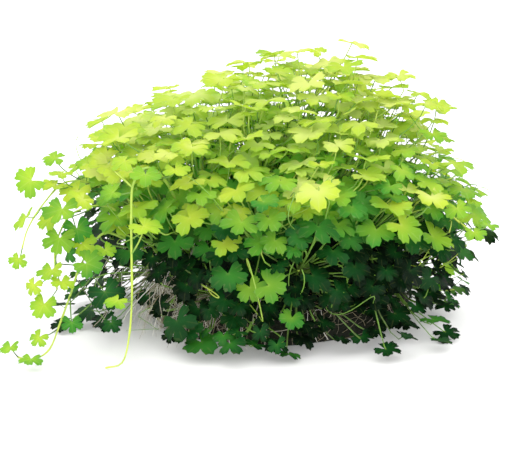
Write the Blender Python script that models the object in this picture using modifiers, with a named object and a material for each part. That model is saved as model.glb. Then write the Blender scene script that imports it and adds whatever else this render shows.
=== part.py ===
"""Pennywort clump: a crown of lobed leaves on thin stalks that rises from a flat mat of roots.

Units are metres, +Z is up, and the origin is the centre of the mat's flat underside.
The leafy shoots stand in the mat's top. The runners arch out of the crown and trail down to
the surface that the mat rests on. Run it with: blender --background --python part.py
"""

import math

import bmesh
import bpy
import numpy as np
from mathutils import Matrix

MM = 0.001

# The crown is the space that the leaves fill. It is widest at the waist and tapers below it.
CROWN_HALF_X = 114 * MM
CROWN_HALF_Y = 84 * MM
CROWN_SHIFT_X = -3 * MM
CROWN_TOP = 146 * MM
WAIST_Z = 60 * MM
SKIRT_Z = 9 * MM
SKIRT_SHRINK = 0.06
CROWN_SQUARENESS = 0.84
CROWN_LUMPS = [(0.065, 1, 7.0, 1.4), (0.04, 3, 2.0, 0.9), (0.03, 7, -4.0, 0.0)]
LOWEST_RISE = -0.30

# The root mat is a cushion with a flat underside and a flat top. The margin holds its lumps.
MAT_HALF_X = 76 * MM
MAT_HALF_Y = 50 * MM
MAT_HEIGHT = 20 * MM
MAT_MARGIN = 1.07
MAT_SIDES = 26

# Stems, stalks and blades.
STEM_RADIUS = 1.0 * MM
STALK_RADIUS = 0.6 * MM
RUNNER_RADIUS = 0.8 * MM
BLADE_THICKNESS = 0.7 * MM
BLADE_LEAST, BLADE_MOST = 10.5 * MM, 13.5 * MM
STEM_POINTS = 4
STEM_FOOT = 3 * MM
STEM_ARCH = 8 * MM
STEM_OVER_MAT = 7 * MM
RUNNER_STEP = 14 * MM
STALK_POINTS = 3
CROWN_STALK_BOW, TRAILING_STALK_BOW = 0.5, 0.35
TRAILING_DROOP = 0.3
LOWEST_BEND = 2 * MM

# Each shoot reaches this share of the way to the crown's surface, and its leaves reach the rest.
SHOOT_COUNT = 30
SHOOT_REACH = 0.70
STEM_RING = 0.72
STEM_WANDER = 0.35
STEM_TRIES = 12
LEAVES_ON_HIGH_SHOOTS, LEAVES_ON_LOW_SHOOTS = 3, 2
LOW_SHOOT_RISE = 0.55
LEAF_TRIES = 12
LEAF_REACH, LEAF_REACH_RANGE = 0.90, 0.13
LEAF_SPREAD = 0.24
LEAN_ON_TOP, LEAN_AT_SIDES, LEAN_POWER = 0.12, 0.75, 3
FLAT_BELOW = 35 * MM
LEAF_TILT = 0.75
LEAF_YAW = 2.4
GOLDEN_TURN = math.pi * (3 - math.sqrt(5))
SEED = 11

# Clearances that keep the pieces apart.
GAP = 0.35 * MM
BLADE_CLEARANCE = 1.1 * MM
STRAND_CLEARANCE = 0.9 * MM
SAMPLE_STEP = 1.2 * MM
WELD = 0.001 * MM
DISC_SHARE = 0.96
DISC_FORWARD = 0.18

# One side of the blade's five lobes, as degrees from the middle lobe and share of the blade's radius.
HALF_OUTLINE = [(14, 1.0), (28, 0.54), (42, 0.97), (70, 0.95), (84, 0.52), (114, 0.84)]
SINUS_RADIUS = 0.12

# Runners that arch out of the crown, as points in millimetres from the mat's top outwards.
RUNNERS = {
    "runner_left_arch": [(-52, -8, 21.5), (-76, -20, 64), (-98, -31, 86), (-112, -40, 89), (-122, -53, 80),
                         (-129, -60, 69), (-132, -63, 59)],
    "runner_left_low": [(-50, -17, 21.5), (-70, -36, 56), (-90, -48, 78), (-106, -56, 76), (-114, -62, 63),
                        (-115, -66, 49), (-114, -68, 38)],
    "runner_left_floor": [(-46, -26, 21.5), (-72, -44, 54), (-92, -54, 64), (-102, -62, 50), (-107, -66, 36),
                          (-113, -69, 20), (-119, -71, 6), (-128, -72, 1.0), (-136, -68, 1.0)],
    "runner_front": [(-32, -30, 21.5), (-46, -46, 60), (-54, -60, 88), (-60, -72, 101), (-66, -84, 105),
                     (-71, -90.5, 98), (-72, -91.5, 84), (-72.5, -91, 60), (-73, -90, 40), (-75, -88, 20),
                     (-79, -87, 5), (-88, -84, 1.0)],
    "runner_right_low": [(52, -14, 21.5), (66, -24, 54), (78, -32, 78), (87, -38, 79), (94, -45, 71),
                         (101, -50, 66)],
    "runner_right_high": [(42, -4, 21.5), (52, -8, 80), (60, -10, 114), (69, -12, 122), (77, -15, 119),
                          (84, -18, 111)],
}

# Leaves that stand clear of the crown. Each has its runner, the place on it as a share of its length, the middle
# of its blade in millimetres, the blade's radius in millimetres and the way that its upper face looks.
TRAILING_LEAVES = [
    ("runner_left_arch", 0.70, (-129, -54, 92), 9.8, (-0.1, -0.85, 0.5)),
    ("runner_left_arch", 0.60, (-119, -34, 101), 8.5, (0.0, -0.3, 0.95)),
    ("runner_left_arch", 0.84, (-128, -72, 77), 9.5, (-0.75, -0.25, 0.65)),
    ("runner_left_arch", 1.00, (-134, -66, 53), 6.5, (-0.2, -0.8, 0.55)),
    ("runner_left_low", 0.66, (-110, -71, 80), 10.5, (-0.3, -0.7, 0.65)),
    ("runner_left_low", 0.82, (-116, -73, 49), 8.5, (-0.3, -0.5, 0.8)),
    ("runner_left_low", 1.00, (-120, -78, 32), 8.5, (-0.2, -0.8, 0.55)),
    ("runner_left_low", 0.90, (-96, -73, 53), 9.0, (0.1, -0.8, 0.55)),
    ("runner_left_floor", 0.56, (-87, -78, 38), 10.5, (0.1, -0.9, 0.4)),
    ("runner_left_floor", 0.68, (-105, -80, 23), 6.5, (0.2, -0.7, 0.65)),
    ("runner_left_floor", 0.80, (-123, -79, 15), 6.0, (-0.2, -0.7, 0.7)),
    ("runner_left_floor", 0.92, (-126, -86, 6), 7.0, (0.0, -0.2, 1.0)),
    ("runner_left_floor", 1.00, (-139, -74, 8), 6.5, (-0.3, -0.3, 0.9)),
    ("runner_front", 0.69, (-64, -99, 79), 10.0, (0.1, -0.25, 1.0)),
    ("runner_front", 0.80, (-80, -98, 41), 7.5, (-0.1, -0.3, 0.95)),
    ("runner_front", 0.48, (-64, -98, 104), 8.5, (0.1, -0.5, 0.85)),
    ("runner_right_low", 0.76, (94, -58, 78), 8.5, (0.1, -0.5, 0.85)),
    ("runner_right_low", 0.88, (104, -42, 80), 7.5, (0.3, -0.1, 0.95)),
    ("runner_right_low", 0.94, (103, -60, 66), 7.5, (0.2, -0.4, 0.9)),
    ("runner_right_low", 1.00, (112, -51, 68), 7.0, (0.2, -0.1, 1.0)),
    ("runner_right_high", 0.78, (79, -9, 132), 9.0, (0.2, -0.1, 1.0)),
    ("runner_right_high", 0.88, (84, -32, 113), 8.5, (0.2, -0.4, 0.9)),
    ("runner_right_high", 1.00, (92, -19, 109), 7.0, (0.3, -0.1, 1.0)),
]

# Finishes, as linear colour and roughness.
LEAF_FINISH = ((0.30, 0.52, 0.06), 0.45)
SHOOT_FINISH = ((0.24, 0.47, 0.06), 0.5)
RUNNER_FINISH = ((0.33, 0.40, 0.10), 0.55)
MAT_FINISH = ((0.10, 0.08, 0.045), 0.9)


def clear_scene():
    """Removes what the start-up file holds."""
    for old in list(bpy.data.objects):
        bpy.data.objects.remove(old)


def unit(vectors):
    """Vectors along the last axis, each made one long."""
    vectors = np.asarray(vectors, float)
    return vectors / np.linalg.norm(vectors, axis=-1, keepdims=True)


def crown_points(directions, reach):
    """Points of the crown in these directions: a squarish dome above the waist, a taper below it."""
    level = np.hypot(directions[:, 0], directions[:, 1])
    rise = directions[:, 2]
    above = np.clip(rise, 0, 1)
    below = np.clip(-rise / -LOWEST_RISE, 0, 1)
    width = np.where(rise > 0, level ** CROWN_SQUARENESS, 1 - SKIRT_SHRINK * below)
    height = (CROWN_TOP - WAIST_Z) * above ** CROWN_SQUARENESS - (WAIST_Z - SKIRT_Z) * below
    across = directions[:, :2] / np.maximum(level, 1e-9)[:, None] * width[:, None]
    points = np.column_stack([across * [CROWN_HALF_X, CROWN_HALF_Y], WAIST_Z + height])
    root = np.array([0, 0, MAT_HEIGHT])
    points[:, 0] += CROWN_SHIFT_X
    turn = np.arctan2(directions[:, 1], directions[:, 0])
    lump = 1 + sum(size * np.sin(number * turn + climb * rise + phase)
                   for size, number, climb, phase in CROWN_LUMPS)
    return root + (points - root) * (np.asarray(reach) * lump)[..., None]


def sunflower_directions(count, lowest):
    """Unit vectors spread evenly from straight up down to the given rise, turned by the golden angle."""
    index = np.arange(count)
    rise = 1 - (index + 0.5) / count * (1 - lowest)
    level = np.sqrt(1 - rise**2)
    turn = index * GOLDEN_TURN
    return np.column_stack([level * np.cos(turn), level * np.sin(turn), rise])


def quadratic(start, middle, end, count):
    """Points along a quadratic Bezier curve."""
    t = np.linspace(0, 1, count)[:, None]
    return start * (1 - t) ** 2 + middle * 2 * t * (1 - t) + end * t**2


def smooth_route(points, step):
    """Points about one step apart along a Catmull-Rom curve through the given ones."""
    points = np.asarray(points, float)
    padded = np.vstack([2 * points[0] - points[1], points, 2 * points[-1] - points[-2]])
    pieces = []
    for a, b, c, d in zip(padded, padded[1:], padded[2:], padded[3:], strict=False):
        count = max(2, round(np.linalg.norm(c - b) / step) + 1)
        t = np.linspace(0, 1, count)[:-1, None]
        pieces.append(0.5 * (2 * b + (c - a) * t + (2 * a - 5 * b + 4 * c - d) * t**2
                             + (3 * b - a - 3 * c + d) * t**3))
    return np.vstack([*pieces, points[-1:]])


def along(route, share):
    """The point at this share of a route's length, and the way that the route runs there."""
    steps = np.linalg.norm(np.diff(route, axis=0), axis=1)
    reached = np.concatenate([[0], np.cumsum(steps)])
    at = share * reached[-1]
    segment = min(np.searchsorted(reached, at, side="right") - 1, len(steps) - 1)
    point = np.array([np.interp(at, reached, route[:, axis]) for axis in range(3)])
    return point, unit(route[segment + 1] - route[segment])


def even_samples(route):
    """Points a sample step apart along a route."""
    length = np.linalg.norm(np.diff(route, axis=0), axis=1)
    reached = np.concatenate([[0], np.cumsum(length)])
    at = np.linspace(0, reached[-1], max(2, int(reached[-1] / SAMPLE_STEP) + 1))
    return np.column_stack([np.interp(at, reached, route[:, axis]) for axis in range(3)])


def discs_cross(centre, normal, radius, centres, normals, radii):
    """Which discs meet this one: their chords on the line where the two planes cross overlap."""
    line = np.cross(normals, normal)
    lean = np.maximum(np.linalg.norm(line, axis=1), 1e-4)
    line = line / lean[:, None]
    step = centres - centre
    far = np.maximum(np.abs(np.einsum("ij,ij->i", step, normals)) - BLADE_CLEARANCE, 0) / lean
    near = np.maximum(np.abs(step @ normal) - BLADE_CLEARANCE, 0) / lean
    own_half = np.sqrt(np.maximum(radius**2 - far**2, 0))
    other_half = np.sqrt(np.maximum(radii**2 - near**2, 0))
    apart = np.abs(np.einsum("ij,ij->i", step, line))
    return (far < radius) & (near < radii) & (apart < own_half + other_half)


class Leaf:
    """One blade on its stalk: its middle, radius, upper normal and middle lobe, and the stalk's start."""

    def __init__(self, centre, radius, normal, forward, node, bow):
        self.centre = centre
        self.radius = radius
        self.reach = radius * DISC_SHARE
        self.normal = unit(normal)
        self.forward = unit(forward - np.dot(forward, self.normal) * self.normal)
        self.joint = centre - self.forward * radius * DISC_FORWARD
        below = self.joint - self.normal * np.linalg.norm(self.joint - node) * bow
        below[2] = max(below[2], LOWEST_BEND)
        self.stalk = quadratic(node, below, self.joint, STALK_POINTS)

    def lowest(self):
        """The lowest height that the blade can reach."""
        return self.centre[2] - self.reach * math.sqrt(1 - self.normal[2] ** 2)

    def meets_mat(self):
        """Whether the blade could touch the mat's side or top."""
        reach = np.array([MAT_HALF_X, MAT_HALF_Y]) * MAT_MARGIN + self.reach
        inside = np.sum((self.centre[:2] / reach) ** 2) < 1
        return inside and self.lowest() < MAT_HEIGHT + BLADE_CLEARANCE


class Occupied:
    """The space already taken: blades as discs, and stems and stalks as rows of points."""

    def __init__(self):
        self.leaves = []
        self.points = np.zeros((0, 3))
        self.owners = np.zeros(0, int)

    def add_strand(self, route, owner):
        samples = even_samples(route)
        self.points = np.vstack([self.points, samples])
        self.owners = np.concatenate([self.owners, np.full(len(samples), owner)])

    def add_leaf(self, leaf, owner):
        self.leaves.append(leaf)
        self.add_strand(leaf.stalk, owner)

    def strand_hits_blade(self, samples, centre, normal, radius):
        step = samples - centre
        height = np.abs(step @ normal)
        level = np.sqrt(np.maximum(np.sum(step**2, axis=1) - height**2, 0))
        return np.any((height < BLADE_CLEARANCE + STALK_RADIUS) & (level < radius + STRAND_CLEARANCE))

    def strand_is_free(self, route, owner):
        """Whether a stem or stalk is clear of the mat, every blade and all other owners' strands."""
        samples = even_samples(route)
        level = samples[:, :2] / (np.array([MAT_HALF_X, MAT_HALF_Y]) * MAT_MARGIN)
        if np.any((np.sum(level**2, axis=1) < 1) & (samples[:, 2] < MAT_HEIGHT)):
            return False
        for leaf in self.leaves:
            if self.strand_hits_blade(samples, leaf.centre, leaf.normal, leaf.reach):
                return False
        others = self.points[self.owners != owner]
        if not len(others):
            return True
        distance = np.linalg.norm(samples[:, None] - others[None], axis=2)
        return distance.min() > 2 * STEM_RADIUS + STRAND_CLEARANCE

    def leaf_is_free(self, leaf, owner):
        """Whether a blade is clear of the floor, the mat, blades and strands, and its stalk of the rest."""
        if leaf.lowest() < 2 * MM or leaf.meets_mat():
            return False
        if self.leaves:
            crossed = discs_cross(leaf.centre, leaf.normal, leaf.reach,
                                  np.array([other.centre for other in self.leaves]),
                                  np.array([other.normal for other in self.leaves]),
                                  np.array([other.reach for other in self.leaves]))
            if crossed.any():
                return False
        if self.strand_hits_blade(self.points, leaf.centre, leaf.normal, leaf.reach):
            return False
        return self.strand_is_free(leaf.stalk, owner)


def shoot_route(direction, draw):
    """A shoot's stem, from the mat's top up and outwards to the crown. draw holds two numbers from 0 to 1."""
    aim = unit(direction + np.array([draw[0] - 0.5, draw[1] - 0.5, 0]) * STEM_WANDER)
    tip = crown_points(aim[None], np.array([SHOOT_REACH]))[0]
    tip[2] = max(tip[2], MAT_HEIGHT + STEM_OVER_MAT)
    base = np.array([*(aim[:2] * np.array([MAT_HALF_X, MAT_HALF_Y]) * STEM_RING), MAT_HEIGHT + GAP])
    foot = base + np.array([0, 0, STEM_FOOT])
    middle = foot + (tip - foot) * np.array([0.25, 0.25, 0.55]) + np.array([0, 0, STEM_ARCH])
    return np.vstack([base, quadratic(foot, middle, tip, STEM_POINTS)])


def crown_leaf(direction, route, draw):
    """A leaf near the crown's surface, on a stalk from its shoot. draw holds eight numbers from 0 to 1."""
    side = unit(np.cross(direction, [0.1, 0.2, 1.0]))
    up_side = np.cross(side, direction)
    turn = draw[0] * 2 * math.pi
    offset = LEAF_SPREAD * math.sqrt(draw[1])
    aim = unit(direction + offset * (math.cos(turn) * side + math.sin(turn) * up_side))
    centre = crown_points(aim[None], np.array([LEAF_REACH + LEAF_REACH_RANGE * draw[2]]))[0]
    radius = BLADE_LEAST + (BLADE_MOST - BLADE_LEAST) * draw[3]
    size = np.array([CROWN_HALF_X, CROWN_HALF_Y, CROWN_TOP - WAIST_Z])
    outward = unit((centre - [0, 0, WAIST_Z]) / size ** 2)
    lean = LEAN_ON_TOP + LEAN_AT_SIDES * (1 - np.clip(aim[2], 0, 1)) ** LEAN_POWER
    lean *= min(1, centre[2] / FLAT_BELOW)
    normal = unit(np.array([0, 0, 1.0]) + outward * lean + (draw[4:7] - 0.5) * LEAF_TILT)
    yaw = (draw[7] - 0.5) * LEAF_YAW
    spin = np.array([[math.cos(yaw), -math.sin(yaw), 0], [math.sin(yaw), math.cos(yaw), 0], [0, 0, 1]])
    forward = spin @ np.array([outward[0], outward[1], 0])
    node, _ = along(route, 0.72 + 0.28 * draw[2])
    return Leaf(centre, radius, normal, forward, node, CROWN_STALK_BOW)


def trailing_leaf(route, share, centre, radius, normal):
    """A leaf beside a runner, on a stalk that begins just clear of the runner's side."""
    centre = np.array(centre) * MM
    node, run = along(route, share)
    away = centre - node
    forward = away - np.array([0, 0, TRAILING_DROOP]) * np.linalg.norm(away)
    sideways = unit(away - np.dot(away, run) * run)
    start = node + sideways * (RUNNER_RADIUS + STALK_RADIUS + GAP)
    return Leaf(centre, radius * MM, normal, forward, start, TRAILING_STALK_BOW)


def finish(name, colour, roughness):
    """A plain material with this colour and roughness."""
    material = bpy.data.materials.get(name) or bpy.data.materials.new(name)
    material.use_nodes = True
    shader = material.node_tree.nodes["Principled BSDF"]
    shader.inputs["Base Color"].default_value = (*colour, 1)
    shader.inputs["Roughness"].default_value = roughness
    shader.inputs["Metallic"].default_value = 0
    material.diffuse_color = (*colour, 1)
    return material


def own_mesh(source):
    """The evaluated object as a mesh of its own, with its doubles welded, and the source removed."""
    bpy.context.view_layer.update()
    graph = bpy.context.evaluated_depsgraph_get()
    mesh = bpy.data.meshes.new_from_object(source.evaluated_get(graph))
    bpy.data.objects.remove(source)
    made = bmesh.new()
    made.from_mesh(mesh)
    bmesh.ops.remove_doubles(made, verts=made.verts, dist=WELD)
    bmesh.ops.recalc_face_normals(made, faces=made.faces)
    made.to_mesh(mesh)
    made.free()
    return mesh


def tube(route, radius):
    """A thin four-sided tube along a route, as a mesh."""
    curve = bpy.data.curves.new("tube", "CURVE")
    curve.dimensions = "3D"
    curve.bevel_depth = radius
    curve.bevel_resolution = 0
    curve.use_fill_caps = True
    spline = curve.splines.new("POLY")
    spline.points.add(len(route) - 1)
    for point, place in zip(spline.points, route, strict=True):
        point.co = (*place, 1)
    guide = bpy.data.objects.new("tube", curve)
    bpy.context.scene.collection.objects.link(guide)
    return own_mesh(guide)


def blade_mesh():
    """A flat lobed blade of radius one with its stalk's joint at the origin, as thick as a real one."""
    left = [(-degrees, share) for degrees, share in reversed(HALF_OUTLINE)]
    outline = [*left, *HALF_OUTLINE, (180, SINUS_RADIUS)]
    curve = bpy.data.curves.new("blade", "CURVE")
    curve.dimensions = "2D"
    curve.fill_mode = "BOTH"
    curve.extrude = BLADE_THICKNESS / 2
    spline = curve.splines.new("POLY")
    spline.points.add(len(outline) - 1)
    spline.use_cyclic_u = True
    for point, (degrees, share) in zip(spline.points, outline, strict=True):
        angle = math.radians(degrees)
        point.co = (share * math.cos(angle), share * math.sin(angle), 0, 1)
    guide = bpy.data.objects.new("blade", curve)
    bpy.context.scene.collection.objects.link(guide)
    mesh = own_mesh(guide)
    made = bmesh.new()
    made.from_mesh(mesh)
    bmesh.ops.dissolve_limit(made, angle_limit=0.01, verts=made.verts, edges=made.edges)
    made.to_mesh(mesh)
    made.free()
    return mesh


def place_blade(leaf, flat):
    """A copy of the flat blade at a leaf's place, size and tilt."""
    side = np.cross(leaf.normal, leaf.forward)
    matrix = Matrix.Identity(4)
    for row in range(3):
        matrix[row][0] = leaf.forward[row] * leaf.radius
        matrix[row][1] = side[row] * leaf.radius
        matrix[row][2] = leaf.normal[row]
        matrix[row][3] = leaf.joint[row]
    mesh = flat.copy()
    mesh.transform(matrix)
    return mesh


def fused(name, meshes):
    """One closed mesh from overlapping ones, by a Boolean union of the first with all the others."""
    others = bpy.data.collections.new("joining")
    bpy.context.scene.collection.children.link(others)
    for mesh in meshes[1:]:
        others.objects.link(bpy.data.objects.new("joining", mesh))
    base = bpy.data.objects.new("base", meshes[0])
    bpy.context.scene.collection.objects.link(base)
    join = base.modifiers.new("join", "BOOLEAN")
    join.operation = "UNION"
    join.operand_type = "COLLECTION"
    join.collection = others
    mesh = own_mesh(base)
    for used in list(others.objects):
        bpy.data.objects.remove(used)
    bpy.data.collections.remove(others)
    mesh.name = name
    return mesh


def add_piece(name, mesh, material, smooth_degrees=40):
    """An object of the clump, in its collection, with its material and smooth shading."""
    collection = bpy.data.collections.get("pennywort")
    if collection is None:
        collection = bpy.data.collections.new("pennywort")
        bpy.context.scene.collection.children.link(collection)
    mesh.materials.clear()
    mesh.materials.append(material)
    mesh.shade_smooth()
    mesh.set_sharp_from_angle(angle=math.radians(smooth_degrees))
    piece = bpy.data.objects.new(name, mesh)
    collection.objects.link(piece)
    return piece


def root_mat():
    """The mat: a turned cushion, stretched to an oval with a gently lumpy rim, flat below and on top."""
    profile = [(0, 1), (0.84, 1), (0.95, 0.86), (1.0, 0.55), (0.985, 0.2), (0.93, 0), (0, 0)]
    mesh = bpy.data.meshes.new("root_mat")
    vertices = [(radius, 0, height * MAT_HEIGHT) for radius, height in profile]
    mesh.from_pydata(vertices, [(i, i + 1) for i in range(len(profile) - 1)], [])
    guide = bpy.data.objects.new("root_mat", mesh)
    bpy.context.scene.collection.objects.link(guide)
    screw = guide.modifiers.new("turn", "SCREW")
    screw.steps = screw.render_steps = MAT_SIDES
    screw.use_merge_vertices = True
    screw.merge_threshold = WELD
    turned = own_mesh(guide)
    for vertex in turned.vertices:
        turn = math.atan2(vertex.co.y, vertex.co.x)
        lump = 1 + 0.035 * math.sin(3 * turn + 0.8) + 0.025 * math.sin(7 * turn)
        vertex.co.x *= MAT_HALF_X * lump
        vertex.co.y *= MAT_HALF_Y * lump
    return turned


def plan():
    """Everything's place: the runners and their leaves, then each shoot and the leaves that fit on it."""
    taken = Occupied()
    runners = {name: smooth_route(np.array(points) * MM, RUNNER_STEP) for name, points in RUNNERS.items()}
    for index, route in enumerate(runners.values()):
        taken.add_strand(route, -1 - index)
    trailing = []
    for owner, (name, *place) in enumerate(TRAILING_LEAVES):
        leaf = trailing_leaf(runners[name], *place)
        trailing.append(leaf)
        taken.add_leaf(leaf, -100 - owner)

    directions = sunflower_directions(SHOOT_COUNT, LOWEST_RISE)
    chance = np.random.default_rng(SEED)
    stem_draws = chance.random((SHOOT_COUNT, STEM_TRIES, 2))
    leaf_draws = chance.random((LEAF_TRIES, SHOOT_COUNT, 8))
    routes = []
    for index, (direction, draws) in enumerate(zip(directions, stem_draws, strict=True)):
        tries = (shoot_route(direction, draw) for draw in draws)
        routes.append(next(route for route in tries if taken.strand_is_free(route, index)))
        taken.add_strand(routes[-1], index)
    leaves = [[] for _ in routes]
    room = np.where(directions[:, 2] > LOW_SHOOT_RISE, LEAVES_ON_HIGH_SHOOTS, LEAVES_ON_LOW_SHOOTS)
    for draws in leaf_draws:
        for index, (direction, route) in enumerate(zip(directions, routes, strict=True)):
            leaf = crown_leaf(direction, route, draws[index])
            if len(leaves[index]) < room[index] and taken.leaf_is_free(leaf, index):
                leaves[index].append(leaf)
                taken.add_leaf(leaf, index)
    return runners, trailing, routes, leaves


def build():
    clear_scene()
    runners, trailing, routes, leaves = plan()
    flat = blade_mesh()
    add_piece("root_mat", root_mat(), finish("root_mat", *MAT_FINISH))
    for name, route in runners.items():
        add_piece(name, tube(route, RUNNER_RADIUS), finish("runner", *RUNNER_FINISH))
    for index, leaf in enumerate(trailing):
        name = f"leaf_{index + 1:02d}"
        mesh = fused(name, [tube(leaf.stalk, STALK_RADIUS), place_blade(leaf, flat)])
        add_piece(name, mesh, finish("leaf", *LEAF_FINISH))
    for index, (route, own) in enumerate(zip(routes, leaves, strict=True)):
        name = f"shoot_{index + 1:02d}"
        parts = [tube(route, STEM_RADIUS)]
        parts += [tube(leaf.stalk, STALK_RADIUS) for leaf in own]
        parts += [place_blade(leaf, flat) for leaf in own]
        add_piece(name, fused(name, parts), finish("shoot", *SHOOT_FINISH))
    bpy.data.meshes.remove(flat)
    print("leaves on shoots:", sum(len(own) for own in leaves))


build()
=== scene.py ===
# Pennywort clump, dressed: cut leaves on thin stalks, creeping stems, and the fibrous mat that they grow
# from. Everything is in metres, with +Z up and the camera on the -Y side.
import math

import bpy
import numpy as np
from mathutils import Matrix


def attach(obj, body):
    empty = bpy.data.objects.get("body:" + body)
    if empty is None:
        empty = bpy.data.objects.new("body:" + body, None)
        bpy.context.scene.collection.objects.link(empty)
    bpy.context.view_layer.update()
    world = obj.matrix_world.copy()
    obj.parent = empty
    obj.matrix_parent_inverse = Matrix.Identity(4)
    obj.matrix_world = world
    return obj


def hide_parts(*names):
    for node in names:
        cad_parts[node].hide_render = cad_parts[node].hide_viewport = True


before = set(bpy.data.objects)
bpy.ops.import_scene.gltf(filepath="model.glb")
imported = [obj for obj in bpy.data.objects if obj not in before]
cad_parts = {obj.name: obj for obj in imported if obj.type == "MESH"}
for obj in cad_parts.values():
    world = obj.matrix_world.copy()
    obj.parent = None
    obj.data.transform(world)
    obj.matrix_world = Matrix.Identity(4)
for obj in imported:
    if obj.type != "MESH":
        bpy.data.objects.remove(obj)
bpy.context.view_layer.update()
print("frame loaded:", len(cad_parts), "solids")

mm = 0.001
up = np.array([0, 0, 1.0])
tiny = 1e-9  # keeps a division off zero, and a rounding off its halves

# The crown is the space that the leaves fill. It is widest at the waist and tapers below it. Its lumps, like
# the mat's, are sines round it as (size, count, climb, phase).
crown = dict(half=np.array([114, 84]) * mm, shiftX=-3 * mm, top=146 * mm, waist=60 * mm, skirt=9 * mm,
             skirtShrink=0.06, squareness=0.84, lowestRise=-0.30,
             lumps=[(0.065, 1, 7.0, 1.4), (0.04, 3, 2.0, 0.9), (0.03, 7, -4.0, 0.0)])

# The mat's profile goes from its top's middle over the rim to its foot, as shares of its width and height.
mat = dict(half=np.array([76, 50]) * mm, height=20 * mm, margin=1.07,
           lumps=[(0.035, 3, 0, 0.8), (0.025, 7, 0, 0.0)],
           profile=[(0, 1), (0.84, 1), (0.95, 0.86), (1.0, 0.55), (0.985, 0.2), (0.93, 0), (0, 0)])

# Each shoot's stem, and the first leaves on it, which are the ones that the solids have.
shoot = dict(seed=11, count=30, tries=12, points=4, reach=0.70, ring=0.72, wander=0.35, foot=3 * mm,
             arch=8 * mm, bendAt=(0.25, 0.25, 0.55), overMat=7 * mm, gap=0.35 * mm)
crownLeaf = dict(onHighShoots=3, onLowShoots=2, lowRise=0.55, tries=12, reach=0.90, reachRange=0.13,
                 spread=0.24, leanOnTop=0.12, leanAtSides=0.75, leanPower=3, flatBelow=35 * mm, tilt=0.75,
                 yaw=2.4, least=10.5 * mm, most=13.5 * mm, bow=0.5, sway=0, lowNode=0.72, facing=0,
                 facingClimb=3, lowSize=1, lowSizeRises=[-0.3, 0.2])

# How close a blade or a stem may come to another. The windows are how far past its own reach one looks for
# others.
clearance = dict(blade=1.1 * mm, strand=0.9 * mm, stem=1.0 * mm, stalk=0.6 * mm, runner=0.8 * mm,
                 step=1.2 * mm, share=0.96, passShare=0.7, forward=0.18, lowestBend=2 * mm,
                 lowestBlade=2 * mm, pointWindow=3 * mm, discWindow=14 * mm, strandWindow=16 * mm,
                 leastLean=1e-4, stalkPoints=3)

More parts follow.
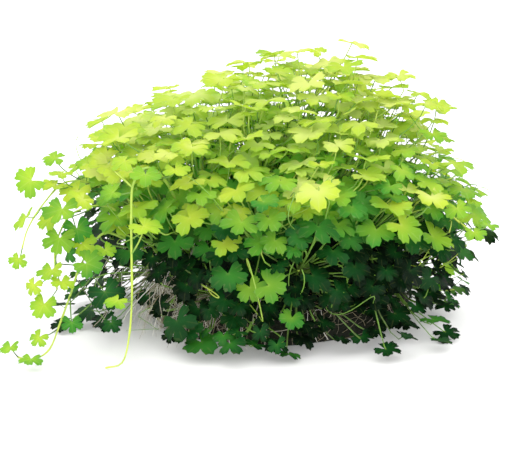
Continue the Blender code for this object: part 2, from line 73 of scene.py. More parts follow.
# Runners that arch out of the crown. A route goes from the mat's top outwards, in millimetres. A leaf is its
# place as a share of the route's length, its middle and radius in millimetres, the way that its upper face
# looks, and its tone, which sets its green and also painted shade. "leaves" have solids of their own, and
# "small" ones have none.
trailing = {
    "runner_left_arch": {
        "route": [(-52, -8, 21.5), (-76, -20, 64), (-98, -31, 86), (-112, -40, 89), (-122, -53, 80),
                  (-129, -60, 69), (-132, -63, 59)],
        "leaves": [(0.70, -129, -54, 92, 9.8, -0.1, -0.85, 0.5, 0.34),
                   (0.60, -119, -34, 101, 8.5, 0, -0.3, 0.95, 0.3),
                   (0.84, -128, -72, 77, 9.5, -0.75, -0.25, 0.65, 0.32),
                   (1, -134, -66, 53, 6.5, -0.2, -0.8, 0.55, 0.34)],
        "small": [(0.52, -114, -47, 95, 7.5, 0, -0.1, 1, 0.2),
                  (0.38, -103, -30, 98, 6.5, -0.2, -0.4, 0.9, 0.3),
                  (0.64, -117, -48, 89, 8.5, 0.1, -0.15, 1, 0.22),
                  (0.56, -106, -44, 84, 10.5, -0.1, -0.7, 0.7, 0.2)]},
    "runner_left_low": {
        "route": [(-50, -17, 21.5), (-70, -36, 56), (-90, -48, 78), (-106, -56, 76), (-114, -62, 63),
                  (-115, -66, 49), (-114, -68, 38)],
        "leaves": [(0.66, -110, -71, 80, 10.5, -0.3, -0.7, 0.65, 0.46),
                   (0.82, -116, -73, 49, 8.5, -0.3, -0.5, 0.8, 0.36),
                   (1, -120, -78, 32, 8.5, -0.2, -0.8, 0.55, 0.34),
                   (0.90, -96, -73, 53, 9, 0.1, -0.8, 0.55, 0.5)],
        "small": [(0.58, -100, -66, 85, 8, 0.3, -0.5, 0.8, 0.2),
                  (0.70, -103, -64, 68, 8.5, 0.2, -0.85, 0.45, 0.6),
                  (0.80, -106, -71, 58, 5.5, -0.7, -0.6, 0.3, 0.75),
                  (0.62, -118, -62, 74, 9, -0.5, -0.6, 0.6, 0.24),
                  (0.74, -112, -68, 64, 9.5, -0.1, -0.85, 0.5, 0.42),
                  (0.78, -100, -62, 60, 8.5, 0.3, -0.7, 0.65, 0.32),
                  (0.93, -125, -76, 42, 6.5, -0.5, -0.7, 0.5, 0.24),
                  (0.88, -110, -76, 44, 7, 0.3, -0.4, 0.85, 0.3)]},
    "runner_left_floor": {
        "route": [(-46, -26, 21.5), (-72, -44, 54), (-92, -54, 64), (-102, -62, 50), (-107, -66, 36),
                  (-113, -69, 20), (-119, -71, 6), (-128, -72, 1.0), (-136, -68, 1.0)],
        "leaves": [(0.56, -87, -78, 38, 10.5, 0.1, -0.9, 0.4, 0.85),
                   (0.68, -105, -80, 23, 6.5, 0.2, -0.7, 0.65, 0.6),
                   (0.80, -123, -79, 15, 6, -0.2, -0.7, 0.7, 0.36), (0.92, -126, -86, 6, 7, 0, -0.2, 1, 0.42),
                   (1, -139, -74, 8, 6.5, -0.3, -0.3, 0.9, 0.38)],
        "small": [(0.62, -84, -83, 24, 6.5, 0.2, -0.7, 0.6, 0.8),
                  (0.50, -88, -66, 58, 6.5, 0.3, -0.5, 0.8, 0.4)]},
    "runner_front": {
        "route": [(-32, -30, 21.5), (-46, -46, 60), (-54, -60, 88), (-60, -72, 101), (-66, -84, 105),
                  (-71, -90.5, 98), (-72, -91.5, 84), (-72.5, -91, 60), (-73, -90, 40), (-75, -88, 20),
                  (-79, -87, 5), (-88, -84, 1.0)],
        "leaves": [(0.69, -64, -99, 79, 10, 0.1, -0.25, 1, 0.28),
                   (0.80, -80, -98, 41, 7.5, -0.1, -0.3, 0.95, 0.34),
                   (0.48, -64, -98, 104, 8.5, 0.1, -0.5, 0.85, 0.42)],
        "small": [(0.44, -76, -88, 109, 8, -0.2, -0.35, 0.9, 0.3),
                  (0.55, -82, -90, 94, 7, -0.3, -0.5, 0.8, 0.45),
                  (0.40, -50, -84, 104, 8.5, 0.1, -0.4, 0.9, 0.25)]},
    "runner_right_low": {
        "route": [(52, -14, 21.5), (66, -24, 54), (78, -32, 78), (87, -38, 79), (94, -45, 71),
                  (101, -50, 66)],
        "leaves": [(0.76, 94, -58, 78, 8.5, 0.1, -0.5, 0.85, 0.36),
                   (0.88, 104, -42, 80, 7.5, 0.3, -0.1, 0.95, 0.32),
                   (0.94, 103, -60, 66, 7.5, 0.2, -0.4, 0.9, 0.38), (1, 112, -51, 68, 7, 0.2, -0.1, 1, 0.36)],
        "small": [(0.62, 84, -47, 84, 8, 0.1, -0.3, 0.95, 0.35)]},
    "runner_right_high": {
        "route": [(42, -4, 21.5), (52, -8, 80), (60, -10, 114), (69, -12, 122), (77, -15, 119),
                  (84, -18, 111)],
        "leaves": [(0.78, 79, -9, 132, 9, 0.2, -0.1, 1, 0.22), (0.88, 84, -32, 113, 8.5, 0.2, -0.4, 0.9, 0.3),
                   (1, 92, -19, 109, 7, 0.3, -0.1, 1, 0.3)],
        "small": [(0.62, 70, -20, 127, 7.5, 0.1, -0.3, 0.95, 0.2)]},
}
runnerLeaf = dict(droop=0.3, bow=0.35, gap=0.35 * mm)
runnerStep = 14 * mm


# Vectors along the last axis, each made one long.
def unit(vectors):
    vectors = np.asarray(vectors, float)
    return vectors / np.linalg.norm(vectors, axis=-1, keepdims=True)


# The value at a share of the way from low to high.
def between(low, high, share):
    return low + (high - low) * share


# Unit vectors with these turns about +Z and these rises.
def directed(turn, rise):
    level = np.sqrt(1 - rise**2)
    return np.stack([level * np.cos(turn), level * np.sin(turn), rise], axis=-1)


# One plus a sum of sines of the turn, which climb with the rise.
def lumpy(lumps, turn, rise=0):
    return 1 + sum(size * np.sin(number * turn + climb * rise + phase)
                   for size, number, climb, phase in lumps)


# Points of the crown in these directions: above the waist the level and upright shares are the direction's
# own, raised to the squareness; below it the width shrinks in step with the depth.
def crownPoints(directions, reach):
    level = np.hypot(directions[:, 0], directions[:, 1])
    rise = directions[:, 2]
    above = np.clip(rise, 0, 1)
    below = np.clip(rise / crown["lowestRise"], 0, 1)
    width = np.where(rise > 0, level ** crown["squareness"], 1 - crown["skirtShrink"] * below)
    height = ((crown["top"] - crown["waist"]) * above ** crown["squareness"]
              - (crown["waist"] - crown["skirt"]) * below)
    across = directions[:, :2] / np.maximum(level, tiny)[:, None] * width[:, None]
    points = np.column_stack([across * crown["half"], crown["waist"] + height])
    points[:, 0] += crown["shiftX"]
    lump = lumpy(crown["lumps"], np.arctan2(directions[:, 1], directions[:, 0]), rise)
    root = up * mat["height"]
    return root + (points - root) * (reach * lump)[..., None]


# Unit vectors whose rise falls in even steps from one to the lowest, each turned on by the golden angle.
def sunflowerDirections(count, lowest):
    index = np.arange(count)
    return directed(index * math.pi * (3 - math.sqrt(5)), 1 - (index + 0.5) / count * (1 - lowest))


# Quadratic Bezier curves, start (1-t)^2 + middle 2t(1-t) + end t^2, for one start or for a row of them.
def quadratic(start, middle, end, count):
    t = np.linspace(0, 1, count)[:, None]
    start, middle, end = (points[..., None, :] for points in (start, middle, end))
    return start * (1 - t) ** 2 + middle * 2 * t * (1 - t) + end * t**2


# A Catmull-Rom curve through the points, with a new point about every step.
def smoothRoute(points, step):
    points = np.asarray(points, float)
    padded = np.vstack([2 * points[0] - points[1], points, 2 * points[-1] - points[-2]])
    pieces = []
    for a, b, c, d in zip(padded, padded[1:], padded[2:], padded[3:]):
        count = max(2, round(np.linalg.norm(c - b) / step) + 1)
        t = np.linspace(0, 1, count)[:-1, None]
        pieces.append(0.5 * (2 * b + (c - a) * t + (2 * a - 5 * b + 4 * c - d) * t**2
                             + (3 * b - a - 3 * c + d) * t**3))
    return np.vstack([*pieces, points[-1:]])


# How far along a route each of its points lies.
def distances(route):
    return np.concatenate([[0], np.cumsum(np.linalg.norm(np.diff(route, axis=0), axis=1))])


# The points that lie this far along a route.
def pointsAt(route, far, at):
    return np.stack([np.interp(at, far, route[:, axis]) for axis in range(3)], axis=-1)


# The point at a share of a route's length, and the unit vector along the route there.
def along(route, share):
    far = distances(route)
    at = share * far[-1]
    segment = min(np.searchsorted(far, at, side="right") - 1, len(far) - 2)
    return pointsAt(route, far, at), unit(route[segment + 1] - route[segment])


# A route cut into this many evenly spaced points.
def evenRoute(route, count):
    far = distances(route)
    return pointsAt(route, far, np.linspace(0, far[-1], count))


def evenSamples(route):
    return evenRoute(route, max(2, int(distances(route)[-1] / clearance["step"]) + 1))


# Which discs meet this one. On the line where two planes cross, each disc covers a chord; they meet where the
# half chords together are longer than the way between the chords' middles.
def discsCross(centre, normal, radius, centres, normals, radii, gap):
    line = np.cross(normals, normal)
    lean = np.maximum(np.linalg.norm(line, axis=1), clearance["leastLean"])
    line = line / lean[:, None]
    step = centres - centre
    far = np.maximum(np.abs(np.einsum("ij,ij->i", step, normals)) - gap, 0) / lean
    near = np.maximum(np.abs(step @ normal) - gap, 0) / lean
    ownHalf = np.sqrt(np.maximum(radius**2 - far**2, 0))
    otherHalf = np.sqrt(np.maximum(radii**2 - near**2, 0))
    apart = np.abs(np.einsum("ij,ij->i", step, line))
    return (far < radius) & (near < radii) & (apart < ownHalf + otherHalf)


# Which points lie within a thickness of which discs, by the steps from the discs' middles to the points.
def nearDiscs(steps, normals, radii):
    height = np.abs(np.einsum("...k,...k->...", steps, normals))
    level = np.sqrt(np.maximum(np.sum(steps**2, axis=-1) - height**2, 0))
    return (height < clearance["blade"] + clearance["stalk"]) & (level < radii + clearance["strand"])


# Which of the points lie in the mat: below its top and inside its oval.
def insideMat(points):
    level = points[:, :2] / (mat["half"] * mat["margin"])
    return (np.sum(level**2, axis=1) < 1) & (points[:, 2] < mat["height"])


# One blade on its stalk: its middle, radius, upper face's normal, middle lobe, and the stalk's curve.
class Leaf:
    def __init__(self, centre, radius, normal, forward, node, bow, sway=(0, 0, 0)):
        self.centre = centre
        self.radius = radius
        self.reach = radius * clearance["share"]
        self.normal = unit(normal)
        self.forward = unit(forward - np.dot(forward, self.normal) * self.normal)
        self.joint = centre - self.forward * radius * clearance["forward"]
        self.bend = self.joint - unit(self.normal + sway) * np.linalg.norm(self.joint - node) * bow
        self.bend[2] = max(self.bend[2], clearance["lowestBend"])
        self.node = node
        self.stalk = quadratic(node, self.bend, self.joint, clearance["stalkPoints"])
        self.inward = 0.0

    def lowest(self):
        return self.centre[2] - self.reach * math.sqrt(1 - self.normal[2] ** 2)

    def meetsMat(self):
        inside = np.sum((self.centre[:2] / (mat["half"] * mat["margin"] + self.reach)) ** 2) < 1
        return inside and self.lowest() < mat["height"] + clearance["blade"]


# The space already taken, with blades as discs, and stems and stalks as rows of points, each with its shoot's
# number.
class Occupied:
    def __init__(self):
        self.centres, self.normals, self.points = np.zeros((3, 0, 3))
        self.reaches = np.zeros(0)
        self.owners = np.zeros(0, int)

    def addStrand(self, route, owner=-1):
        samples = evenSamples(route)
        self.points = np.vstack([self.points, samples])
        self.owners = np.concatenate([self.owners, np.full(len(samples), owner)])

    def addLeaf(self, leaf, owner=-1):
        self.centres = np.vstack([self.centres, leaf.centre])
        self.normals = np.vstack([self.normals, leaf.normal])
        self.reaches = np.append(self.reaches, leaf.reach)
        self.addStrand(leaf.stalk, owner)

    # A strand is free of the blades where no sample lies within a thickness of any disc.
    def clearOfBlades(self, samples):
        window = clearance["strandWindow"]
        low, high = samples.min(axis=0) - window, samples.max(axis=0) + window
        close = np.all((self.centres > low) & (self.centres < high), axis=1)
        steps = samples[:, None] - self.centres[None, close]
        return not nearDiscs(steps, self.normals[close], self.reaches[close]).any()

    def strandIsFree(self, route, owner):
        samples = evenSamples(route)
        if insideMat(samples).any() or not self.clearOfBlades(samples):
            return False
        others = self.points[self.owners != owner]
        distance = np.linalg.norm(samples[:, None] - others[None], axis=2)
        return distance.min() > 2 * clearance["stem"] + clearance["strand"]

    # Whether a disc meets none of the blades. Only those near enough are tested.
    def discIsFree(self, centre, normal, reach, gap):
        close = np.flatnonzero(np.abs(self.centres[:, 0] - centre[0]) < reach + clearance["discWindow"])
        return not discsCross(centre, normal, reach, self.centres[close], self.normals[close],
                              self.reaches[close], gap).any()

    # With passStrands, stems may pass the blade near its rim, and the stalk may pass other stems.
    def leafIsFree(self, leaf, owner, gap, passStrands=False):
        if leaf.lowest() < clearance["lowestBlade"] or leaf.meetsMat():
            return False
        if not self.discIsFree(leaf.centre, leaf.normal, leaf.reach, gap):
            return False
        reach = leaf.reach * (clearance["passShare"] if passStrands else 1)
        steps = self.points - leaf.centre
        steps = steps[np.abs(steps[:, 0]) < reach + clearance["pointWindow"]]
        if nearDiscs(steps, leaf.normal, reach).any():
            return False
        if passStrands:
            samples = evenSamples(leaf.stalk)
            return self.clearOfBlades(samples) and not insideMat(samples).any()
        return self.strandIsFree(leaf.stalk, owner)


# A shoot's stem, from the mat's top up and outwards towards the crown: a foot, then a quadratic curve.
def shootRoute(direction, draw):
    aim = unit(direction + np.append(draw - 0.5, 0) * shoot["wander"])
    tip = crownPoints(aim[None], shoot["reach"])[0]
    tip[2] = max(tip[2], mat["height"] + shoot["overMat"])
    base = np.append(aim[:2] * mat["half"] * shoot["ring"], mat["height"] + shoot["gap"])
    foot = base + up * shoot["foot"]
    middle = foot + (tip - foot) * shoot["bendAt"] + up * shoot["arch"]
    return np.vstack([base, quadratic(foot, middle, tip, shoot["points"])])


# Directions moved sideways by up to the spread, as the draws' first two numbers say.
def scattered(directions, draws, spread):
    side = unit(np.cross(directions, [0.1, 0.2, 1.0]))  # any vector that no direction points along
    upSide = np.cross(side, directions)
    turn = draws[:, :1] * math.tau
    offset = spread * np.sqrt(draws[:, 1:2])
    return unit(directions + offset * (np.cos(turn) * side + np.sin(turn) * upSide))


# Blades in the crown, in the directions of their aims, as rows of middles, radii, normals and middle lobes. A
# face turns from up to outwards down the crown's side, and in the upper crown also to the light in front. A
# row of draws holds six numbers: how far out the blade is, its size, three for its tilt and one for its yaw.
def bladePlaces(aims, draws, look):
    centres = crownPoints(aims, look["reach"] + look["reachRange"] * draws[:, 0])
    radii = between(look["least"], look["most"], draws[:, 1])
    radii = radii * np.interp(aims[:, 2], look["lowSizeRises"], [look["lowSize"], 1])
    size = np.append(crown["half"], crown["top"] - crown["waist"])
    outward = unit((centres - up * crown["waist"]) / size**2)
    lean = look["leanOnTop"] + look["leanAtSides"] * (1 - np.clip(aims[:, 2], 0, 1)) ** look["leanPower"]
    lean *= np.minimum(1, centres[:, 2] / look["flatBelow"])
    facing = look["facing"] * np.clip(aims[:, 2:] * look["facingClimb"], 0, 1)
    normals = unit(up + outward * lean[:, None] + (draws[:, 2:5] - 0.5) * look["tilt"]
                   - np.array([0, 1.0, 0]) * facing)
    yaw = (draws[:, 5] - 0.5) * look["yaw"]
    x, y = outward[:, 0], outward[:, 1]
    forwards = np.column_stack([np.cos(yaw) * x - np.sin(yaw) * y,
                                np.sin(yaw) * x + np.cos(yaw) * y, 0 * yaw])
    return centres, radii, normals, forwards


# A blade's leaf, with its stalk from the route's upper part. The farther out it is, the nearer the tip.
def hangLeaf(place, route, draw, look):
    node, _ = along(route, between(look["lowNode"], 1, draw[0]))
    return Leaf(*place, node, look["bow"], (draw[[3, 4, 2]] - 0.5) * look["sway"])


# A leaf beside a runner, on a stalk that begins at the runner's side.
def placeTrailingLeaf(route, share, x, y, z, radius, normalX, normalY, normalZ, tone):
    centre = np.array([x, y, z]) * mm
    node, run = along(route, share)
    away = centre - node
    forward = away - up * runnerLeaf["droop"] * np.linalg.norm(away)
    sideways = unit(away - np.dot(away, run) * run)
    start = node + sideways * (clearance["runner"] + clearance["stalk"] + runnerLeaf["gap"])
    leaf = Leaf(centre, radius * mm, (normalX, normalY, normalZ), forward, start, runnerLeaf["bow"])
    leaf.node = node
    leaf.tone = tone
    return leaf


# The runners and their leaves are placed first, then each shoot, then the leaves that fit on it, and then the
# runners' small leaves.
taken = Occupied()
runners = {name: smoothRoute(np.array(runner["route"]) * mm, runnerStep) for name, runner in trailing.items()}
runnerLeaves, smallLeaves = ([placeTrailingLeaf(runners[name], *row)
                              for name in runners for row in trailing[name][key]]
                             for key in ("leaves", "small"))
for route in runners.values():
    taken.addStrand(route)
for leaf in runnerLeaves:
    taken.addLeaf(leaf)

directions = sunflowerDirections(shoot["count"], crown["lowestRise"])
chance = np.random.default_rng(shoot["seed"])
stemDraws = chance.random((shoot["count"], shoot["tries"], 2))
leafDraws = chance.random((crownLeaf["tries"], shoot["count"], 8))
stems = []
for index, (direction, draws) in enumerate(zip(directions, stemDraws)):
    tries = (shootRoute(direction, draw) for draw in draws)
    stems.append(next(route for route in tries if taken.strandIsFree(route, index)))
    taken.addStrand(stems[-1], index)
shootLeaves = [[] for _ in stems]
room = np.where(directions[:, 2] > crownLeaf["lowRise"], crownLeaf["onHighShoots"], crownLeaf["onLowShoots"])


# Puts a leaf on a shoot where it is free, and tells whether it did.
def tryLeaf(leaf, index, gap, passStrands):
    free = taken.leafIsFree(leaf, index, gap, passStrands)
    if free:
        shootLeaves[index].append(leaf)
        taken.addLeaf(leaf, index)
    return free


for draws in leafDraws:
    aims = scattered(directions, draws, crownLeaf["spread"])
    for index, place in enumerate(zip(*bladePlaces(aims, draws[:, 2:], crownLeaf))):
        if len(shootLeaves[index]) < room[index]:
            leaf = hangLeaf(place, stems[index], draws[index, 2:], crownLeaf)
            tryLeaf(leaf, index, clearance["blade"], False)
print("leaves as in the solids:", sum(map(len, shootLeaves)) + len(runnerLeaves))
for leaf in smallLeaves:
    taken.addLeaf(leaf)

# The rest of the foliage, in layers from the crown's surface inwards. Each try aims a leaf at random, with
# its rise spread over the layer's rises as its shares say, and hangs it on the stem that points its way best.
# Below the waist the leaves are smaller and fewer. In the bare places, at the left front where the roots show
# and at both shoulders, most are left out.
filling = dict(
    seed=23, strayStem=0.12, bareShare=0.1, thinRises=[-0.05, 0.2],
    barePlaces=np.array([(-88, -58, 25), (-117, 0, 118), (118, 0, 92)]) * mm,
    bareSizes=np.array([(35, 46, 30), (25, 90, 15), (22, 90, 34)]) * mm,
    all=dict(tries=7000, shares=[0, 0.17, 1], rises=[-0.36, 0, 1], gap=0.8 * mm, share=0.8, reachRange=0.18,
             least=9 * mm, most=13 * mm, sway=1.6, bow=0.35, lowNode=0.6, facing=0.08, lowSize=0.72,
             lowShare=0.5),
    layers=dict(
        outer=dict(reach=0.88, reachRange=0.14, least=8.5 * mm, tilt=0.45),
        canopy=dict(shares=[0, 1], rises=[0.15, 1], gap=0.6 * mm, share=0.7, reach=0.78, least=8 * mm,
                    most=12 * mm, leanOnTop=0.16, tilt=0.5, lowNode=0.5),
        second=dict(tries=4000, share=0.75, reach=0.74, least=8 * mm, most=12.5 * mm, leanOnTop=0.15,
                    tilt=0.7, lowNode=0.5),
        small=dict(tries=4000, reach=0.86, reachRange=0.17, least=4.5 * mm, most=7.5 * mm, leanOnTop=0.2,
                   tilt=1.1, lowSize=1, lowShare=0.8),
        heart=dict(shares=[0, 1], rises=[-0.1, 1], gap=0.4 * mm, share=0.5, reach=0.5, reachRange=0.36,
                   leanOnTop=0.5, leanAtSides=1.0, tilt=1.2, lowNode=0.3, facing=0.5, lowShare=1),
        inner=dict(tries=2500, gap=0.4 * mm, share=0.5, reach=0.30, reachRange=0.46, leanOnTop=0.6,
                   leanAtSides=1.0, tilt=1.6, lowNode=0.3, lowSize=1, lowShare=1)))


# Whether each middle lies where most leaves are left out.
def inBarePlace(centres):
    apart = (centres[..., None, :] - filling["barePlaces"]) / filling["bareSizes"]
    return np.any(np.linalg.norm(apart, axis=-1) < 1, axis=-1)


chance = np.random.default_rng(filling["seed"])
for layerName, layer in filling["layers"].items():
    look = {**crownLeaf, **filling["all"], **layer}
    draws = chance.random((look["tries"], 9))
    rise = np.interp(draws[:, 0], look["shares"], look["rises"])
    aims = directed(draws[:, 1] * math.tau, rise)
    likeness = aims @ directions.T + filling["strayStem"] * chance.random((look["tries"], shoot["count"]))
    owners = np.argmax(likeness, axis=1)
    places = bladePlaces(aims, draws[:, 2:], look)
    lowKept = np.interp(rise, filling["thinRises"], [look["lowShare"], 1])
    kept = draws[:, 8] < np.where(inBarePlace(places[0]), filling["bareShare"], lowKept)
    added = 0
    for row in np.flatnonzero(kept):
        place = [values[row] for values in places]
        if taken.discIsFree(place[0], place[2], place[1] * look["share"], look["gap"]):
            leaf = hangLeaf(place, stems[owners[row]], draws[row, 2:], look)
            leaf.reach = leaf.radius * look["share"]
            added += tryLeaf(leaf, owners[row], look["gap"], True)
    print("leaves added in the", layerName, "layer:", added)

# Leaves of the hem, which creep over the surface round the foot, each from the nearest low stem.
hem = dict(seed=31, tries=420, near=0.86, far=1.10, low=3.5 * mm, high=16 * mm, least=6.5 * mm, most=11 * mm,
           lean=0.15, tilt=0.5, share=0.8, bow=0.3, lowNode=0.45, nodeSpan=0.55, stemRise=0.35,
           stemMiddle=0.7)
chance = np.random.default_rng(hem["seed"])
stemMiddles = np.array([along(route, hem["stemMiddle"])[0] for route in stems])
lowStems = np.flatnonzero(directions[:, 2] < hem["stemRise"])
for draw in chance.random((hem["tries"], 9)):
    turn = draw[0] * math.tau
    size = crown["half"] * between(hem["near"], hem["far"], draw[1])
    centre = np.array([math.cos(turn) * size[0] + crown["shiftX"], math.sin(turn) * size[1],
                       between(hem["low"], hem["high"], draw[2])])
    if inBarePlace(centre):
        continue
    index = lowStems[np.argmin(np.linalg.norm((stemMiddles[lowStems] - centre)[:, :2], axis=1))]
    aside = np.array([-centre[1], centre[0], 0])
    outward = unit(np.array([centre[0], centre[1], 0]) + (draw[3] - 0.5) * aside)
    normal = up + outward * hem["lean"] + (draw[4:7] - 0.5) * hem["tilt"]
    node, _ = along(stems[index], hem["lowNode"] + hem["nodeSpan"] * draw[8])
    leaf = Leaf(centre, between(hem["least"], hem["most"], draw[7]), normal, outward, node, hem["bow"])
    leaf.reach = leaf.radius * hem["share"]
    tryLeaf(leaf, index, clearance["blade"], True)
print("leaves on shoots with the hem's:", sum(map(len, shootLeaves)))

# How green a leaf is, from 0 for pale lime to 1 for near-black deep green, with painted light and shade in
# it. A share of the outer ones is young and lighter, and the tone scatters at random. Leaves low down and
# deep in the lower crown are darker as painted shade, deep leaves high up are lighter as painted light, and
# the palest lime at the top is a painted highlight. No tone is less than a floor that is higher lower down,
# which is painted shade too. The painted inner light brightens leaves inside the upper crown, most of all a
# little below its top, as painted light.
toningAndPaintedShade = dict(seed=5, top=121 * mm, span=64 * mm, low=0.8, power=1.8, least=0.1, deepHigh=-0.1, deepLow=0.9,
              heart=0.7, skin=0.95, depth=0.22, scatter=0.26, midScatter=1.0, scatterMiddle=0.45, young=0.22,
              youngShare=0.5, hemTop=18 * mm, floor=0.04, floorLow=0.3, inwardFrom=1.05, inwardSpan=0.27,
              inwardTop=0.45, inwardMid=3)
chance = np.random.default_rng(toningAndPaintedShade["seed"])
heart = crown["waist"] * toningAndPaintedShade["heart"]
crownMiddle = np.array([crown["shiftX"], 0, heart])
crownSize = np.append(crown["half"], crown["top"] - heart)
for leaf in sum(shootLeaves, []):
    outness = np.linalg.norm((leaf.centre - crownMiddle) / crownSize)
    depth = np.clip((toningAndPaintedShade["skin"] - outness) / toningAndPaintedShade["depth"], 0, 1)
    low = np.clip((toningAndPaintedShade["top"] - leaf.centre[2]) / toningAndPaintedShade["span"], 0, 1) ** toningAndPaintedShade["power"]
    tone = between(toningAndPaintedShade["least"], toningAndPaintedShade["low"], low)
    tone += (toningAndPaintedShade["deepHigh"] * (1 - low) + toningAndPaintedShade["deepLow"] * low) * depth
    young = (chance.random() < toningAndPaintedShade["young"] and outness > toningAndPaintedShade["skin"]
             and leaf.centre[2] > toningAndPaintedShade["hemTop"])
    scatter = toningAndPaintedShade["scatter"] * (1 + toningAndPaintedShade["midScatter"] * 4 * low * (1 - low))
    tone *= toningAndPaintedShade["youngShare"] if young else 1
    tone += (chance.random() - toningAndPaintedShade["scatterMiddle"]) * scatter
    leaf.tone = float(np.clip(tone, toningAndPaintedShade["floor"] + toningAndPaintedShade["floorLow"] * low, 1))
    # Painted light: leaves inside the upper crown get a brighter green, standing for light that came through
    # the leaves above.
    inwards = np.clip((toningAndPaintedShade["inwardFrom"] - outness) / toningAndPaintedShade["inwardSpan"], 0, 1)
    leaf.inward = float(inwards * (1 - low) ** 2 * (toningAndPaintedShade["inwardTop"] + toningAndPaintedShade["inwardMid"] * low))


# A mesh object from points and faces, at the origin, riding on the clump in place of a node's solid.
def addPiece(name, points, faces, materials, node):
    mesh = bpy.data.meshes.new(name)
    mesh.from_pydata(points.tolist(), [], faces)
    for material in materials:
        mesh.materials.append(material)
    mesh.shade_smooth()
    piece = bpy.data.objects.new(name, mesh)
    bpy.context.scene.collection.objects.link(piece)
    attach(piece, "root")
    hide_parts(node)
    return mesh


def pointAttribute(mesh, name, values):
    mesh.attributes.new(name, "FLOAT", "POINT").data.foreach_set("value", np.asarray(values, np.float32))


# The blade's outline and relief. Its lobes are a turn apart. t runs from -0.5 to 0.5 across a lobe. The small
# rim has few points, for the hundreds of leaves, and the full one is for those that stand clear of the crown.
blade = dict(sides=2, lobeTurn=math.radians(60), leastTurn=0.95, turnRange=0.1,
             smallRim=[-0.5, -0.43, -0.3, -0.15, 0.0, 0.15, 0.3, 0.43], fullRim=14,
             fullRows=[0.28, 0.55, 0.8], innerMid=0.56, innerCleft=0.62, cleft=0.54, cleftRange=0.3,
             lobeRange=0.16, lobeMiddle=0.6, basal=0.9, basalRange=0.25, tooth=0.1, toothWidth=0.3, fold=0.15,
             cup=0.2, cupRange=1.7, dome=0.7, wave=0.12, droop=0.1, thickness=0.4 * mm, overFloor=0.1 * mm)


# The lower faces are the upper ones reversed, on doubles of all points but the rim's. The edge along the
# notch at the stalk is closed by faces between each pair of neighbours and their doubles.
def closedBlade(upper, doubled, rimEnds, columns):
    count = max(max(face) for face in upper) + 1
    below = {old: count + place for place, old in enumerate(range(doubled))}
    lower = [tuple(below.get(corner, corner) for corner in reversed(face)) for face in upper]
    for column, end, way in zip(columns, rimEnds, (1, -1)):
        notch = [(a, below[a], below[b], b) for a, b in zip(column, column[1:])]
        notch.append((column[-1], below[column[-1]], end))
        lower += [face[::way] for face in notch]
    return upper, lower


# The small form: its points are the joint, an inner ring of clefts and lobe middles in turn, and the rim.
def smallBlade():
    lobeCount = 2 * blade["sides"] + 1
    rimTurns = blade["smallRim"]
    perLobe = len(rimTurns)
    ring = 1 + np.arange(2 * lobeCount + 1)
    rim = 1 + len(ring) + np.arange(perLobe * lobeCount + 1)
    half = perLobe // 2
    upper = [(0, a, b) for a, b in zip(ring, ring[1:])]
    for lobe in range(lobeCount):
        cleft, middle, nextCleft = ring[2 * lobe:2 * lobe + 3]
        r = rim[perLobe * lobe:perLobe * (lobe + 1) + 1]
        upper += [(cleft, r[0], r[1], middle), (middle, *r[1:half + 1]),
                  (middle, *r[half:2 * half]), (middle, r[2 * half - 1], r[2 * half], nextCleft)]
    lobes = np.arange(-blade["sides"], blade["sides"] + 1)
    turns = np.append((lobes[:, None] + np.array(rimTurns)).ravel(), blade["sides"] + 0.5)
    ringTurns = np.linspace(turns[0], turns[-1], len(ring))
    inner = np.where(np.arange(len(ring)) % 2 == 0, blade["innerCleft"], blade["innerMid"])
    faces = closedBlade(upper, 1 + len(ring), (rim[0], rim[-1]), [(0, ring[0]), (0, ring[-1])])
    return {"turns": np.concatenate([[0], ringTurns, turns]),
            "inner": np.concatenate([[0], inner, np.ones(len(turns))]),
            "doubled": 1 + len(ring), "faces": faces}


# The full form: the joint, and rows at shares of the radius, each with as many points as the rim.
def fullBlade():
    columns = blade["fullRim"] * (2 * blade["sides"] + 1) + 1
    rimTurns = np.linspace(-blade["sides"] - 0.5, blade["sides"] + 0.5, columns)
    rows = [*blade["fullRows"], 1.0]
    grid = 1 + np.arange(len(rows) * columns).reshape(len(rows), columns)
    upper = [(0, a, b) for a, b in zip(grid[0], grid[0, 1:])]
    for near, far in zip(grid, grid[1:]):
        upper += list(zip(near[:-1], far[:-1], far[1:], near[1:]))
    doubled = 1 + (len(rows) - 1) * columns
    notch = [(0, *grid[:-1, side]) for side in (0, -1)]
    faces = closedBlade(upper, doubled, grid[-1, [0, -1]], notch)
    return {"turns": np.concatenate([[0], np.tile(rimTurns, len(rows))]),
            "inner": np.concatenate([[0], np.repeat(rows, columns)]), "doubled": doubled, "faces": faces}


